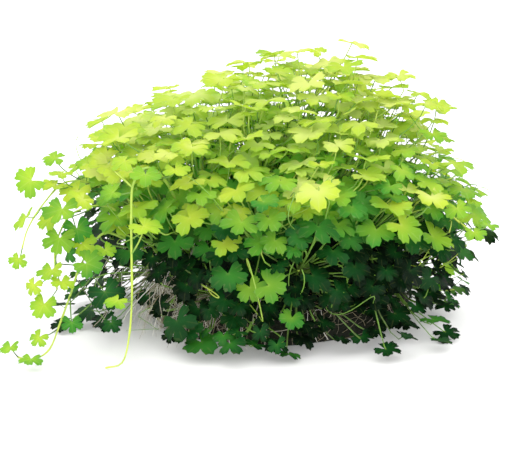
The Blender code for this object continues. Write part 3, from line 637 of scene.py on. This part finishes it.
# All blades of one piece. The outline's radius is the cleft's depth plus the rest times (1 - |2t|^4)^0.6,
# with three shallow teeth a lobe; the basal lobes are shorter. The height is the sum of a gutter |2t|^1.4
# along each lobe, a cup or dome and a wave that grow with the square of the radius, and a rim that droops
# with its fourth power. No blade goes below the surface that the clump rests on.
def bladeSurfaces(leaves, chance, form):
    count = len(leaves)
    turns, inner, doubled = form["turns"], form["inner"], form["doubled"]
    lobe = np.clip(np.round(turns + tiny), -blade["sides"], blade["sides"])
    t = turns - lobe
    varied = chance.random((count, 8, 1))
    lobeDraws = chance.random((count, 2 * blade["sides"] + 1)) - blade["lobeMiddle"]
    lobeVariety = 1 + blade["lobeRange"] * lobeDraws
    cleft = blade["cleft"] + blade["cleftRange"] * (varied[:, 0] - 0.5)
    body = cleft + (1 - cleft) * np.clip(1 - np.abs(2 * t) ** 4, 0, 1) ** 0.6
    teeth = 1 - blade["tooth"] * (1 - np.abs(np.cos(math.pi * t / blade["toothWidth"])))
    basal = blade["basal"] - blade["basalRange"] * varied[:, 5] ** 2
    outline = body * teeth * np.where(np.abs(lobe) == blade["sides"], basal, 1.0)
    outline = outline * lobeVariety[:, (lobe + blade["sides"]).astype(int)]
    share = outline * inner
    radii = np.array([leaf.radius for leaf in leaves])[:, None]
    angle = turns * blade["lobeTurn"] * (blade["leastTurn"] + blade["turnRange"] * varied[:, 4])
    cup = blade["cup"] * (varied[:, 1] * blade["cupRange"] - blade["dome"])
    wave = blade["wave"] * np.sin((2 + np.round(varied[:, 2])) * angle + varied[:, 3] * math.tau)
    height = radii * (blade["fold"] * share * np.abs(2 * t) ** 1.4 + (cup + wave) * share**2
                      - blade["droop"] * share**4)
    forward, normal, joint = (np.array([getattr(leaf, key) for leaf in leaves])[:, None]
                              for key in ("forward", "normal", "joint"))
    side = np.cross(normal, forward)
    points = (joint + forward * (radii * share * np.cos(angle))[..., None]
              + side * (radii * share * np.sin(angle))[..., None] + normal * height[..., None])
    points[..., 2] = np.maximum(points[..., 2], blade["thickness"] + blade["overFloor"])
    points = np.concatenate([points, points[:, :doubled] - normal * blade["thickness"]], axis=1)
    points[..., 2] = np.maximum(points[..., 2], blade["overFloor"])
    pointUv = np.column_stack([turns, share.mean(axis=0)])
    return points, np.vstack([pointUv, pointUv[:doubled]])


# The faces of a closed tube: quads from ring to ring, and triangles to the point at each end.
def sleeve(rings, sides):
    here = np.arange(sides)
    after = (here + 1) % sides
    ring = (np.arange(rings - 1) * sides)[:, None]
    wall = np.stack([ring + here, ring + after, ring + sides + after, ring + sides + here], axis=-1)
    last = (rings - 1) * sides
    foot = np.column_stack([after, here, np.full(sides, rings * sides)])
    tip = np.column_stack([last + here, last + after, np.full(sides, rings * sides + 1)])
    return wall.reshape(-1, 4), np.vstack([foot, tip])


tubeEnd = 0.6  # how far a tube's end point stands past its last ring, as a share of the radius


# Tubes of one number of points each, carried along their paths with a frame turned on from ring to ring, and
# closed by a point at each end. radius holds one value for each ring of each tube.
def tubes(paths, radius, sides):
    count, rings, _ = paths.shape
    tangent = unit(np.gradient(paths, axis=1))
    across = np.zeros_like(paths)
    start = np.where(np.abs(tangent[:, 0, 2:]) < 0.9, up, [1.0, 0, 0])
    across[:, 0] = unit(np.cross(tangent[:, 0], start))
    for ring in range(1, rings):
        level = across[:, ring - 1]
        onTangent = np.sum(level * tangent[:, ring], axis=1, keepdims=True)
        across[:, ring] = unit(level - onTangent * tangent[:, ring])
    other = np.cross(tangent, across)
    turn = (np.arange(sides) / sides * math.tau)[:, None]
    radius = np.broadcast_to(radius, (count, rings))[:, :, None, None]
    skin = paths[:, :, None] + (across[:, :, None] * np.cos(turn) + other[:, :, None] * np.sin(turn)) * radius
    ends = paths[:, [0, -1]] + tangent[:, [0, -1]] * radius[:, [0, -1], 0] * [[-tubeEnd], [tubeEnd]]
    points = np.concatenate([skin.reshape(count, -1, 3), ends], axis=1)
    quads, caps = sleeve(rings, sides)
    starts = np.arange(count)[:, None, None] * (rings * sides + 2)
    faces = (starts + quads).reshape(-1, 4).tolist() + (starts + caps).reshape(-1, 3).tolist()
    ringShare = np.concatenate([np.repeat(np.linspace(0, 1, rings), sides), [0, 1]])
    return points, faces, np.tile(ringShare, (count, 1))


# One piece from groups of points, faces and values for an attribute.
def addGroups(name, groups, material, attribute, node):
    points, faces, values = [], [], []
    start = 0
    for groupPoints, groupFaces, groupValues in groups:
        points.append(groupPoints.reshape(-1, 3))
        faces += [[start + corner for corner in face] for face in groupFaces]
        values.append(groupValues.reshape(-1))
        start += len(points[-1])
    mesh = addPiece(name, np.vstack(points), faces, [material], node)
    pointAttribute(mesh, attribute, np.concatenate(values))


# Sets a node's inputs by name or number. An input that is given a signal is linked to it.
def feed(node, values):
    for key, value in values.items():
        if isinstance(value, Signal):
            node.id_data.links.new(value.socket, node.inputs[key])
        else:
            node.inputs[key].default_value = value


# One output of a new shader node. Sums, differences and products of signals are Math nodes.
class Signal:
    def __init__(self, tree, kind, values=None, out=0, **settings):
        self.tree = tree
        self.node = tree.nodes.new("ShaderNode" + kind)
        for key, value in settings.items():
            setattr(self.node, key, value)
        feed(self.node, values or {})
        self.socket = self.node.outputs[out]

    def math(self, operation, other=0.0):
        return Signal(self.tree, "Math", {0: self, 1: other}, operation=operation)

    def __add__(self, other):
        return self.math("ADD", other)

    def __sub__(self, other):
        return self.math("SUBTRACT", other)

    def __rsub__(self, other):
        return Signal(self.tree, "Math", {0: other, 1: self}, operation="SUBTRACT")

    def __mul__(self, other):
        return self.math("MULTIPLY", other)

    # Carried from the range low to high to the one from atLow to atHigh, and held at its ends.
    def mapped(self, low, high, atLow, atHigh):
        return Signal(self.tree, "MapRange", {0: self, 1: low, 2: high, 3: atLow, 4: atHigh})


def attribute(tree, name):
    return Signal(tree, "Attribute", out="Fac", attribute_name=name)


def noise(tree, scale, detail, distortion=0.0):
    values = {"Vector": Signal(tree, "TexCoord", out="Object"), "Scale": scale, "Detail": detail,
              "Distortion": distortion}
    return Signal(tree, "TexNoise", values)


def blend(tree, share, a, b, mode="MIX"):
    return Signal(tree, "Mix", {0: share, 6: a, 7: b}, 2, data_type="RGBA", blend_type=mode)


def ramp(tree, factor, stops):
    signal = Signal(tree, "ValToRGB", {0: factor})
    elements = signal.node.color_ramp.elements
    for place, colour in stops[1:-1]:
        elements.new(place).color = colour
    elements[0].position, elements[0].color = stops[0]
    elements[-1].position, elements[-1].color = stops[-1]
    return signal


def newMaterial(name):
    material = bpy.data.materials.new(name)
    material.use_nodes = True
    return material, material.node_tree


# Colour, roughness and specular level of a finish. The bump is its strength, its depth and its height's
# signal.
def dress(tree, colour, roughness, specular=0.5, bump=None):
    values = {"Base Color": colour, "Roughness": roughness, "Specular IOR Level": specular}
    if bump:
        values["Normal"] = Signal(tree, "Bump", dict(zip(("Strength", "Distance", "Height"), bump)))
    feed(tree.nodes["Principled BSDF"], values)


# sRGB numbers from 0 to 255 as linear colour.
def rgb(red, green, blue):
    channel = [c / 255 / 12.92 if c <= 10 else ((c / 255 + 0.055) / 1.055) ** 2.4 for c in (red, green, blue)]
    return (*channel, 1.0)


# The palest green is a painted highlight, the darkest ones are painted shade, and the inward green is painted
# light.
leafFinish = dict(
    greensAndShade=[(0.0, rgb(230, 230, 124)), (0.15, rgb(196, 212, 56)), (0.35, rgb(132, 184, 40)),
            (0.55, rgb(50, 136, 36)), (0.78, rgb(16, 72, 24)), (1.0, rgb(3, 20, 7))],
    patchScale=45.0, patches=0.4, outwards=0.16, outwardsFrom=0.6, inward=rgb(116, 214, 74), inwardShare=0.8,
    mottle=rgb(180, 210, 110), mottleScale=190.0, mottleShare=0.3,
    vein=rgb(206, 222, 112), veinTones=(0.1, 0.8), veinShares=(0.22, 0.02), veinWidth=(0.008, 0.035),
    sideSlant=0.9, sideGap=0.11, sideWidth=0.02, sideStrength=0.4,
    underside=rgb(190, 214, 130), underShare=0.3, underRoughness=0.6,
    throughLight=rgb(198, 228, 72), throughShare=0.4, throughUpTo=0.9, glow=0.66,
    roughness=0.5, specular=0.06, bump=0.5, relief=0.25 * mm, mottleHeight=0.35, veinDepth=0.8)


# A leaf's finish: its tone, which holds painted shade and light as well as the leaf's own green, picks a
# green, lighter at the stalk and darker at the rim, and its painted inner light blends in a brighter one as
# painted light.
# Veins run along each lobe's middle and fork towards its teeth, and fade on the dark leaves. A fine noise
# mottles it. The veins are sunk, and the blade lets light through, yellower the paler it is.
def leafMaterial(name, under):
    look = leafFinish
    material, tree = newMaterial(name)
    uv = Signal(tree, "UVMap", uv_map="leafUv")
    u, v = (Signal(tree, "SeparateXYZ", {0: uv}, out) for out in (0, 1))
    mottle, patches = noise(tree, look["mottleScale"], 3.0), noise(tree, look["patchScale"], 1.0)
    across = ((u + 0.5).math("FRACT") - 0.5).math("ABSOLUTE")
    mainVein = (across * v).mapped(*look["veinWidth"], 1.0, 0.0)
    comb = (v - across * look["sideSlant"]).math("PINGPONG", look["sideGap"])
    veins = mainVein.math("MAXIMUM", comb.mapped(0.0, look["sideWidth"], look["sideStrength"], 0.0))
    tone = attribute(tree, "tone") + (patches - 0.5) * look["patches"]
    tone = tone + (v - look["outwardsFrom"]) * look["outwards"]
    inward = attribute(tree, "inward") * look["inwardShare"]
    colour = blend(tree, inward, ramp(tree, tone, look["greensAndShade"]), look["inward"])
    colour = blend(tree, mottle * look["mottleShare"], colour, look["mottle"], "MULTIPLY")
    veinShare = tone.mapped(*look["veinTones"], *look["veinShares"])
    colour = blend(tree, veins * veinShare, colour, look["vein"])
    if under:
        colour = blend(tree, (1.0 - tone) * look["underShare"], colour, look["underside"])
    height = mottle * look["mottleHeight"] - veins * look["veinDepth"]
    dress(tree, colour, look["underRoughness" if under else "roughness"], look["specular"],
          (look["bump"], look["relief"], height))
    throughShare = (look["throughUpTo"] - tone) * look["throughShare"]
    through = blend(tree, throughShare, colour, look["throughLight"])
    mix = Signal(tree, "MixShader", {0: look["glow"], 2: Signal(tree, "BsdfTranslucent", {"Color": through})})
    tree.links.new(tree.nodes["Principled BSDF"].outputs[0], mix.node.inputs[1])
    feed(tree.nodes["Material Output"], {0: mix})
    return material


stemFinish = dict(ages=[(0.0, rgb(42, 58, 20)), (0.45, rgb(86, 134, 34)), (1.0, rgb(172, 190, 56))],
                  streakScale=260.0, streaks=0.5, roughness=0.55, specular=0.15, bump=0.4, relief=0.15 * mm)


# A stem's finish: from old brown-green at the foot to a young yellow-green tip, streaked by a noise.
def stemMaterial(name):
    material, tree = newMaterial(name)
    streak = noise(tree, stemFinish["streakScale"], 2.0)
    age = attribute(tree, "age") + (streak - 0.5) * stemFinish["streaks"]
    dress(tree, ramp(tree, age, stemFinish["ages"]), stemFinish["roughness"], stemFinish["specular"],
          (stemFinish["bump"], stemFinish["relief"], streak))
    return material


leafTop, leafUnder = leafMaterial("leafTop", False), leafMaterial("leafUnder", True)
stemSkin = stemMaterial("stemSkin")
smallForm, fullForm = smallBlade(), fullBlade()
sharpEdge = math.radians(70)


# The blades of one node as one piece. Round the joint, a corner takes the turn of its face's middle.
def addBlades(name, leaves, form, node, chance):
    points, pointUv = bladeSurfaces(leaves, chance, form)
    upperFaces, lowerFaces = form["faces"]
    bladeFaces = upperFaces + lowerFaces
    perLeaf = points.shape[1]
    faces = []
    for start in range(0, len(leaves) * perLeaf, perLeaf):
        faces += [tuple(start + int(corner) for corner in face) for face in bladeFaces]
    mesh = addPiece(name, points.reshape(-1, 3), faces, [leafTop, leafUnder], node)
    corners = []
    for face in bladeFaces:
        uv = pointUv[list(face)]
        central = uv[:, 1] == 0
        uv[central, 0] = uv[~central, 0].mean()
        corners.append(uv)
    corners = np.tile(np.vstack(corners), (len(leaves), 1))
    mesh.uv_layers.new(name="leafUv").data.foreach_set("uv", corners.ravel().astype(np.float32))
    under = np.tile([0] * len(upperFaces) + [1] * len(lowerFaces), len(leaves))
    mesh.polygons.foreach_set("material_index", under.astype(np.int32))
    mesh.set_sharp_from_angle(angle=sharpEdge)
    for key in ("tone", "inward"):
        pointAttribute(mesh, key, np.repeat([getattr(leaf, key) for leaf in leaves], perLeaf))


stalk = dict(foot=0.48 * mm, tip=0.34 * mm, rings=6, sides=4, sink=0.15 * mm, thin=0.7, fullAt=40 * mm,
             age=0.3, ageRange=0.4, leafShadeOnStalk=0.35)


# The stalks of a set of leaves: Bezier curves that thin towards the blade, and are thinner on a small leaf. A
# stalk's age falls with its leaf's tone, so it carries its leaf's painted shade.
def stalkTubes(leaves, chance):
    paths = np.array([quadratic(leaf.node, leaf.bend, leaf.joint - leaf.normal * stalk["sink"],
                                stalk["rings"]) for leaf in leaves])
    scale = np.array([min(1.0, stalk["thin"] + leaf.radius / stalk["fullAt"]) for leaf in leaves])[:, None]
    radius = np.linspace(stalk["foot"], stalk["tip"], stalk["rings"])[None] * scale
    points, faces, share = tubes(paths, radius, stalk["sides"])
    tones = np.array([leaf.tone for leaf in leaves])[:, None]
    draws = chance.random((len(leaves), 1)) - 0.5
    return points, faces, (stalk["age"] + stalk["ageRange"] * share - stalk["leafShadeOnStalk"] * tones
                           + stalk["ageRange"] * draws)


# The stems of the shoots and of the runners. The age runs from its own to that plus its range.
stem = dict(foot=1.05 * mm, tip=0.6 * mm, rings=22, sides=7, nodes=6, swell=0.28, sunk=5 * mm, step=3 * mm,
            age=0.05, ageRange=0.6, seed=41)
runnerStem = dict(foot=0.75 * mm, tip=0.45 * mm, leastRings=24, ringShare=0.8, nodes=8, step=2 * mm, age=0.35,
                  ageRange=0.55)


# A stem's tube: it thins from foot to tip and swells at its nodes, like cos to the sixteenth power.
def stemTube(route, rings, look):
    share = np.linspace(0, 1, rings)
    swell = 1 + stem["swell"] * np.abs(np.cos(math.pi * share * look["nodes"])) ** 16
    radius = between(look["foot"], look["tip"], share)[None] * swell
    points, faces, share = tubes(evenRoute(route, rings)[None], radius, stem["sides"])
    return points, faces, look["age"] + look["ageRange"] * share


tendril = dict(perShoot=3, rings=22, sides=4, thick=0.36 * mm, thin=0.2 * mm, leastSize=0.75, sizeRange=0.5,
               span=0.45, aimSpan=0.8, wobble=0.07, outer=0.95, outerRange=0.07, outerWaves=7, lowest=-0.34,
               highest=0.35, top=0.9, lift=0.45, lowNode=0.3, nodeSpan=0.6, overFloor=1.5 * mm, age=0.15,
               ageRange=0.4)


# Thin wandering stems of one shoot: each leaves the stem, comes out through the crown's surface and runs
# along it. The direction goes from one aim to the next with a sine wobble, and the way from the stem eases in
# as 3w^2 - 2w^3.
def tendrilTubes(route, direction, chance):
    look = tendril
    t = np.linspace(0, 1, look["rings"])
    draws = chance.random((look["perShoot"], 8, 1))
    turn = math.atan2(direction[1], direction[0]) + (draws[:, 0] - 0.5) * look["aimSpan"]
    turn = turn + t * (draws[:, 1] - 0.5) * 2 * look["span"]
    turn = turn + look["wobble"] * np.sin(t * (5 + 5 * draws[:, 2]) + draws[:, 3] * 6)
    base = np.clip(direction[2], look["lowest"], look["highest"])
    rise = base + (draws[:, 4] - 0.5) * look["span"] * t + look["wobble"] * np.sin(t * (4 + 6 * draws[:, 5]))
    aims = directed(turn, np.clip(rise, look["lowest"], look["top"]))
    reach = look["outer"] + look["outerRange"] * np.sin(t * look["outerWaves"] + draws[:, 6] * 6)
    surface = crownPoints(aims.reshape(-1, 3), reach.ravel()).reshape(aims.shape)
    starts = np.array([along(route, look["lowNode"] + look["nodeSpan"] * share)[0]
                       for share in draws[:, 7, 0]])
    w = np.clip(t / look["lift"], 0, 1)[:, None]
    paths = starts[:, None] + (surface - starts[:, None]) * (3 * w**2 - 2 * w**3)
    paths[..., 2] = np.maximum(paths[..., 2], look["overFloor"])
    size = look["leastSize"] + look["sizeRange"] * draws[:, 0]
    radius = np.linspace(look["thick"], look["thin"], look["rings"])[None] * size
    points, faces, share = tubes(paths, radius, look["sides"])
    age = look["age"] + look["ageRange"] * share * draws[:, 2] + look["ageRange"] * draws[:, 4]
    return points, faces, age


chance = np.random.default_rng(stem["seed"])
for index, (route, leaves) in enumerate(zip(stems, shootLeaves)):
    node = f"shoot_{index + 1:02d}"
    addBlades(node + "_leaves", leaves, smallForm, node, chance)
    smooth = smoothRoute(np.vstack([route[0] - up * stem["sunk"], route]), stem["step"])
    groups = [stemTube(smooth, stem["rings"], stem), stalkTubes(leaves, chance)]
    if directions[index][2] < tendril["highest"]:
        groups.append(tendrilTubes(route, directions[index], chance))
    addGroups(node + "_stems", groups, stemSkin, "age", node)
print("shoots dressed:", len(stems), "with leaves:", sum(map(len, shootLeaves)))

# The front runner forks where it comes out of the crown: a short second arm, as its start, bend and end in
# mm.
forkArm = dict(route=[(-71.2, -90.7, 97), (-75, -91, 101), (-80, -86, 104)], rings=8, sides=6, thick=0.55,
               thin=0.35, age=0.6, ageRange=0.3)
smallByRunner = {name: [smallLeaves.pop(0) for _ in runner["small"]] for name, runner in trailing.items()}
for name, route in runners.items():
    smooth = smoothRoute(route, runnerStem["step"])
    rings = max(runnerStem["leastRings"], round(len(smooth) * runnerStem["ringShare"]))
    groups = [stemTube(smooth, rings, runnerStem)]
    if name == "runner_front":
        arm = quadratic(*np.array(forkArm["route"]) * mm, forkArm["rings"])
        radius = np.linspace(forkArm["thick"], forkArm["thin"], forkArm["rings"]) * mm
        points, faces, share = tubes(arm[None], radius, forkArm["sides"])
        groups.append((points, faces, forkArm["age"] + forkArm["ageRange"] * share))
    addBlades(name + "_leaves", smallByRunner[name], fullForm, name, chance)
    groups.append(stalkTubes(smallByRunner[name], chance))
    addGroups(name + "_stem", groups, stemSkin, "age", name)
for index, leaf in enumerate(runnerLeaves):
    node = f"leaf_{index + 1:02d}"
    addBlades(node + "_blade", [leaf], fullForm, node, chance)
    addGroups(node + "_stalk", [stalkTubes([leaf], chance)], stemSkin, "age", node)
print("runners dressed:", len(runners), "with leaves:", len(runnerLeaves))

# The mat's fibres run from near black to dark olive brown: a dark root mat, darkened further as painted shade
# under the foliage.
matLook = dict(around=180, along=60, flatness=0.4, rumple=1.6 * mm, waves=60, frequency=260, seed=3,
               foot=0.5 * mm, fibres=[(0.35, rgb(3, 5, 2)), (0.6, rgb(10, 13, 6)), (0.8, rgb(26, 26, 12))],
               fibreScale=420.0, fibreDetail=5.0, fibreTwist=2.5, roughness=0.95, specular=0.1, bump=0.9,
               relief=0.8 * mm)


# Rumples from a sum of sine waves with random directions, all at once for every point.
def rumple(points):
    chance = np.random.default_rng(matLook["seed"])
    waves = chance.normal(size=(matLook["waves"], 3)) * matLook["frequency"]
    phase = chance.random(matLook["waves"]) * math.tau
    return matLook["rumple"] * np.sin(points @ waves.T + phase).sum(axis=-1) / math.sqrt(matLook["waves"])


# Points of the mat's skin: its profile at a share of its length, carried round the lumpy oval.
def matSkin(turn, share):
    profile = np.array(mat["profile"], float)
    far = distances(profile * [1, matLook["flatness"]])
    spread = np.interp(share, far / far[-1], profile[:, 0]) * lumpy(mat["lumps"], turn)
    height = np.interp(share, far / far[-1], profile[:, 1]) * mat["height"]
    x, y = spread * mat["half"][0] * np.cos(turn), spread * mat["half"][1] * np.sin(turn)
    return np.stack(np.broadcast_arrays(x, y, height), axis=-1)


# The mat: its skin on a grid of turn by profile share, rumpled inwards, with a closed pole above and below.
def addMat():
    turn = np.linspace(0, math.tau, matLook["around"], endpoint=False)
    share = np.linspace(0, 1, matLook["along"])[1:-1]
    skin = matSkin(turn[None, :], share[:, None])
    dent = np.abs(rumple(skin)) * (skin[..., 2] > matLook["foot"])
    skin = skin - unit(skin - up * mat["height"] * 0.5) * dent[..., None]
    skin[..., 2] = np.maximum(skin[..., 2], 0)
    points = np.vstack([skin.reshape(-1, 3), up * skin[0, :, 2].mean(), up * 0])
    quads, caps = sleeve(*skin.shape[:2])
    material, tree = newMaterial("matFibreAndShade")
    fibres = noise(tree, matLook["fibreScale"], matLook["fibreDetail"], matLook["fibreTwist"])
    dress(tree, ramp(tree, fibres, matLook["fibres"]), matLook["roughness"], matLook["specular"],
          (matLook["bump"], matLook["relief"], fibres))
    faces = quads[:, [0, 3, 2, 1]].tolist() + caps[:, [1, 0, 2]].tolist()
    addPiece("root_mat_body", points, faces, [material], "root_mat")


# Fine roots and creeping stems on the mat, and roots that hang. thickRange and paleRange are how far one
# differs from another, and pale is an attribute from brown to cream, or a creeping stem's age. The weave is
# how strands wander on the mat, its sines as (size, waves along a strand, shift by its start). In hanging
# and dangling the pairs are (least, range), and out, bendUp and end are in millimetres.
roots = dict(
    seed=17, roughness=0.6, leastSize=0.7, lowestPoint=0.3 * mm,
    weave=dict(turnSine=(0.02, 9, 7), shareSine=(0.006, 11, 5), driftMiddle=0.3, shares=(0.02, 0.62),
               middle=0.4, sunk=0.4 * mm, overFloor=1.2),
    colours=[(0.0, rgb(30, 28, 14)), (0.5, rgb(120, 110, 76)), (1.0, rgb(240, 238, 226))],
    fine=dict(count=420, points=9, radius=0.12 * mm, thickRange=0.7, sides=4, turnSpan=0.9, shareSpan=0.35,
              low=0.22, high=0.5, lift=2.2 * mm, pale=0.1, paleRange=0.6, palePower=2),
    creeping=dict(count=70, points=16, radius=0.75 * mm, thickRange=0.6, sides=6, turnSpan=1.6, shareSpan=0.3,
                  low=0.05, high=0.45, lift=2.5 * mm, pale=0.1, paleRange=0.5, palePower=1),
    hanging=dict(count=150, points=11, radius=0.09 * mm, thickRange=0.7, sides=4, turn=math.radians(214),
                 spread=0.5, rim=(0.30, 0.14), stray=0.9, out=(3, 20), bendOut=0.55, bendUp=(2, 24),
                 end=(1, 14), sway=2.2 * mm, pale=0.3, paleRange=0.6, palePower=1),
    dangling=dict(count=260, stems=8, nodes=(0.1, 0.75), stray=1.4, out=(6, 24), bendOut=0.7, bendDown=0.25,
                  lowest=1 * mm, drop=(0.3, 0.7), sway=2.6 * mm))


# Strands that wander over the mat's skin: the turn and the profile share drift along each, with a small sine,
# and a lift stands it clear of the skin and fades at its ends.
def matStrands(chance, look):
    weave = roots["weave"]
    t = np.linspace(0, 1, look["points"])[None]
    column = (look["count"], 1)
    startTurn = chance.random(column) * math.tau
    startShare = between(look["low"], look["high"], chance.random(column))
    turn = startTurn + look["turnSpan"] * (chance.random(column) - 0.5) * t
    share = startShare + look["shareSpan"] * (chance.random(column) - weave["driftMiddle"]) * t
    turnSine, shareSine = (size * np.sin(t * count + startTurn * ofStart)
                           for size, count, ofStart in (weave["turnSine"], weave["shareSine"]))
    path = matSkin(turn + turnSine, np.clip(share + shareSine, *weave["shares"]))
    outward = unit(path - up * mat["height"] * weave["middle"])
    lift = look["lift"] * chance.random(column) * np.sin(math.pi * t) - weave["sunk"]
    path = path + outward * lift[..., None]
    path[..., 2] = np.maximum(path[..., 2], look["radius"] * weave["overFloor"])
    return path


# Quadratic curves from each start over its bend to its end. Each sways to a side of its own, by a slow and a
# quick sine that grow along it.
def swayingCurves(start, bend, end, draws, size):
    count = roots["hanging"]["points"]
    t = np.linspace(0, 1, count)[None, :, None]
    slow, turn, quick = (draws[:, column, None, None] for column in range(3))
    side = np.concatenate([np.cos(7 * turn), np.sin(7 * turn), 0.5 * np.sin(15 * turn)], axis=2)
    sway = np.sin(t * (4 + 6 * slow) + 6 * turn) + 0.4 * np.sin(t * (12 + 9 * quick))
    path = quadratic(start, bend, end, count) + side * size * t * sway
    path[..., 2] = np.maximum(path[..., 2], roots["lowestPoint"])
    return path


# Roots that hang over the mat's rim at its left front: each goes from the rim up and outwards, then down.
def hangingRoots(chance):
    look = roots["hanging"]
    draws = chance.random((look["count"], 9))
    turn = look["turn"] + look["spread"] * chance.normal(size=look["count"])
    least, more = look["rim"]
    start = matSkin(turn, least + more * draws[:, 0])
    aside = look["stray"] * (draws[:, 1:3] - 0.5)
    way = np.column_stack([np.cos(turn + aside[:, 0]), np.sin(turn + aside[:, 1])])
    least, more = look["out"]
    out = (least + more * draws[:, 3:4] ** 1.5) * mm
    least, more = look["bendUp"]
    bendUp = (least + more * draws[:, 4] * draws[:, 3]) * mm
    bend = start + np.column_stack([way * out * look["bendOut"], bendUp])
    end = start + np.column_stack([way * out, np.zeros(len(out))])
    least, more = look["end"]
    end[:, 2] = (least + more * draws[:, 5] ** 2) * mm
    return swayingCurves(start, bend, end, draws[:, 6:], look["sway"])


# Roots that hang from the stems over the bare place at the left front: each goes a little outwards and down.
def danglingRoots(chance):
    look = roots["dangling"]
    place = filling["barePlaces"][0]
    nearest = np.argsort(np.linalg.norm(stemMiddles - place, axis=1))[:look["stems"]]
    draws = chance.random((look["count"], 9))
    picked = nearest[(draws[:, 0] * len(nearest)).astype(int)]
    least, more = look["nodes"]
    start = np.array([along(stems[index], least + more * share)[0]
                      for index, share in zip(picked, draws[:, 1])])
    way = unit(place * [1, 1, 0])[:2] + look["stray"] * (draws[:, 2:4] - 0.5)
    least, more = look["out"]
    out = (least + more * draws[:, 4:5]) * mm
    least, more = look["drop"]
    drop = (start[:, 2] - look["lowest"]) * (least + more * draws[:, 5])
    end = start + np.column_stack([way * out, -drop])
    bend = start + np.column_stack([way * out * look["bendOut"], -look["bendDown"] * drop])
    return swayingCurves(start, bend, end, draws[:, 6:], look["sway"])


# Tubes on these paths, each with a thickness and a paleness of its own.
def rootTubes(chance, paths, look):
    column = (len(paths), 1)
    size = look["radius"] * (roots["leastSize"] + look["thickRange"] * chance.random(column))
    points, faces, share = tubes(paths, size, look["sides"])
    pale = look["pale"] + look["paleRange"] * chance.random(column) ** look["palePower"]
    return points, faces, 0 * share + pale


def addRoots():
    chance = np.random.default_rng(roots["seed"])
    groups = [rootTubes(chance, matStrands(chance, roots["fine"]), roots["fine"])]
    hanging = np.concatenate([hangingRoots(chance), danglingRoots(chance)])
    groups.append(rootTubes(chance, hanging, roots["hanging"]))
    cream, tree = newMaterial("rootCream")
    dress(tree, ramp(tree, attribute(tree, "pale"), roots["colours"]), roots["roughness"])
    addGroups("root_mat_fine_roots", groups, cream, "pale", "root_mat")
    creeping = rootTubes(chance, matStrands(chance, roots["creeping"]), roots["creeping"])
    addGroups("root_mat_creeping_stems", [creeping], stemSkin, "age", "root_mat")


addMat()
addRoots()
print("root mat dressed")

# The light is an even sky with one broad sun overhead and a weak, very broad one low in front. Each sun has
# its strength, its width and its turns in degrees.
staging = dict(floor=8.0, floorColour=(0.7, 0.7, 0.69, 1), floorRoughness=0.9, world=2.3, gamma=1.35,
               suns={"sun": (0.8, 20, (8, -12, 0)), "fill": (2.0, 60, (56, 0, 0))})


# The floor is one level square under an even white world.
def addStage():
    half = staging["floor"]
    mesh = bpy.data.meshes.new("floor")
    corners = [(-half, -half, 0), (half, -half, 0), (half, half, 0), (-half, half, 0)]
    mesh.from_pydata(corners, [], [(0, 1, 2, 3)])
    floor = bpy.data.objects.new("floor", mesh)
    bpy.context.scene.collection.objects.link(floor)
    material, tree = newMaterial("floorPaper")
    dress(tree, staging["floorColour"], staging["floorRoughness"])
    mesh.materials.append(material)
    world = bpy.data.worlds.new("studio")
    world.use_nodes = True
    feed(world.node_tree.nodes["Background"], {0: (1, 1, 1, 1), 1: staging["world"]})
    bpy.context.scene.world = world
    for name, (strength, width, turns) in staging["suns"].items():
        lamp = bpy.data.lights.new(name, "SUN")
        lamp.energy = strength
        lamp.angle = math.radians(width)
        sun = bpy.data.objects.new(name, lamp)
        sun.rotation_euler = [math.radians(turn) for turn in turns]
        bpy.context.scene.collection.objects.link(sun)


# The camera looks at the target from the front, raised by the elevation, at the distance.
camera = dict(lens=85, sensor=36, near=0.01, distance=0.690, elevation=14, target=(-0.0106, 0.0, 0.054))


def addCamera():
    data = bpy.data.cameras.new("camera")
    data.lens = camera["lens"]
    data.sensor_width = camera["sensor"]
    data.sensor_fit = "HORIZONTAL"
    data.clip_start = camera["near"]
    seen = bpy.data.objects.new("camera", data)
    rise = math.radians(camera["elevation"])
    x, y, z = camera["target"]
    seen.location = (x, y - camera["distance"] * math.cos(rise), z + camera["distance"] * math.sin(rise))
    seen.rotation_euler = (math.pi / 2 - rise, 0, 0)
    bpy.context.scene.collection.objects.link(seen)
    bpy.context.scene.camera = seen


addStage()
addCamera()
bpy.context.scene.view_settings.view_transform = "Standard"
bpy.context.scene.view_settings.gamma = staging["gamma"]
print("stage, light and camera set")
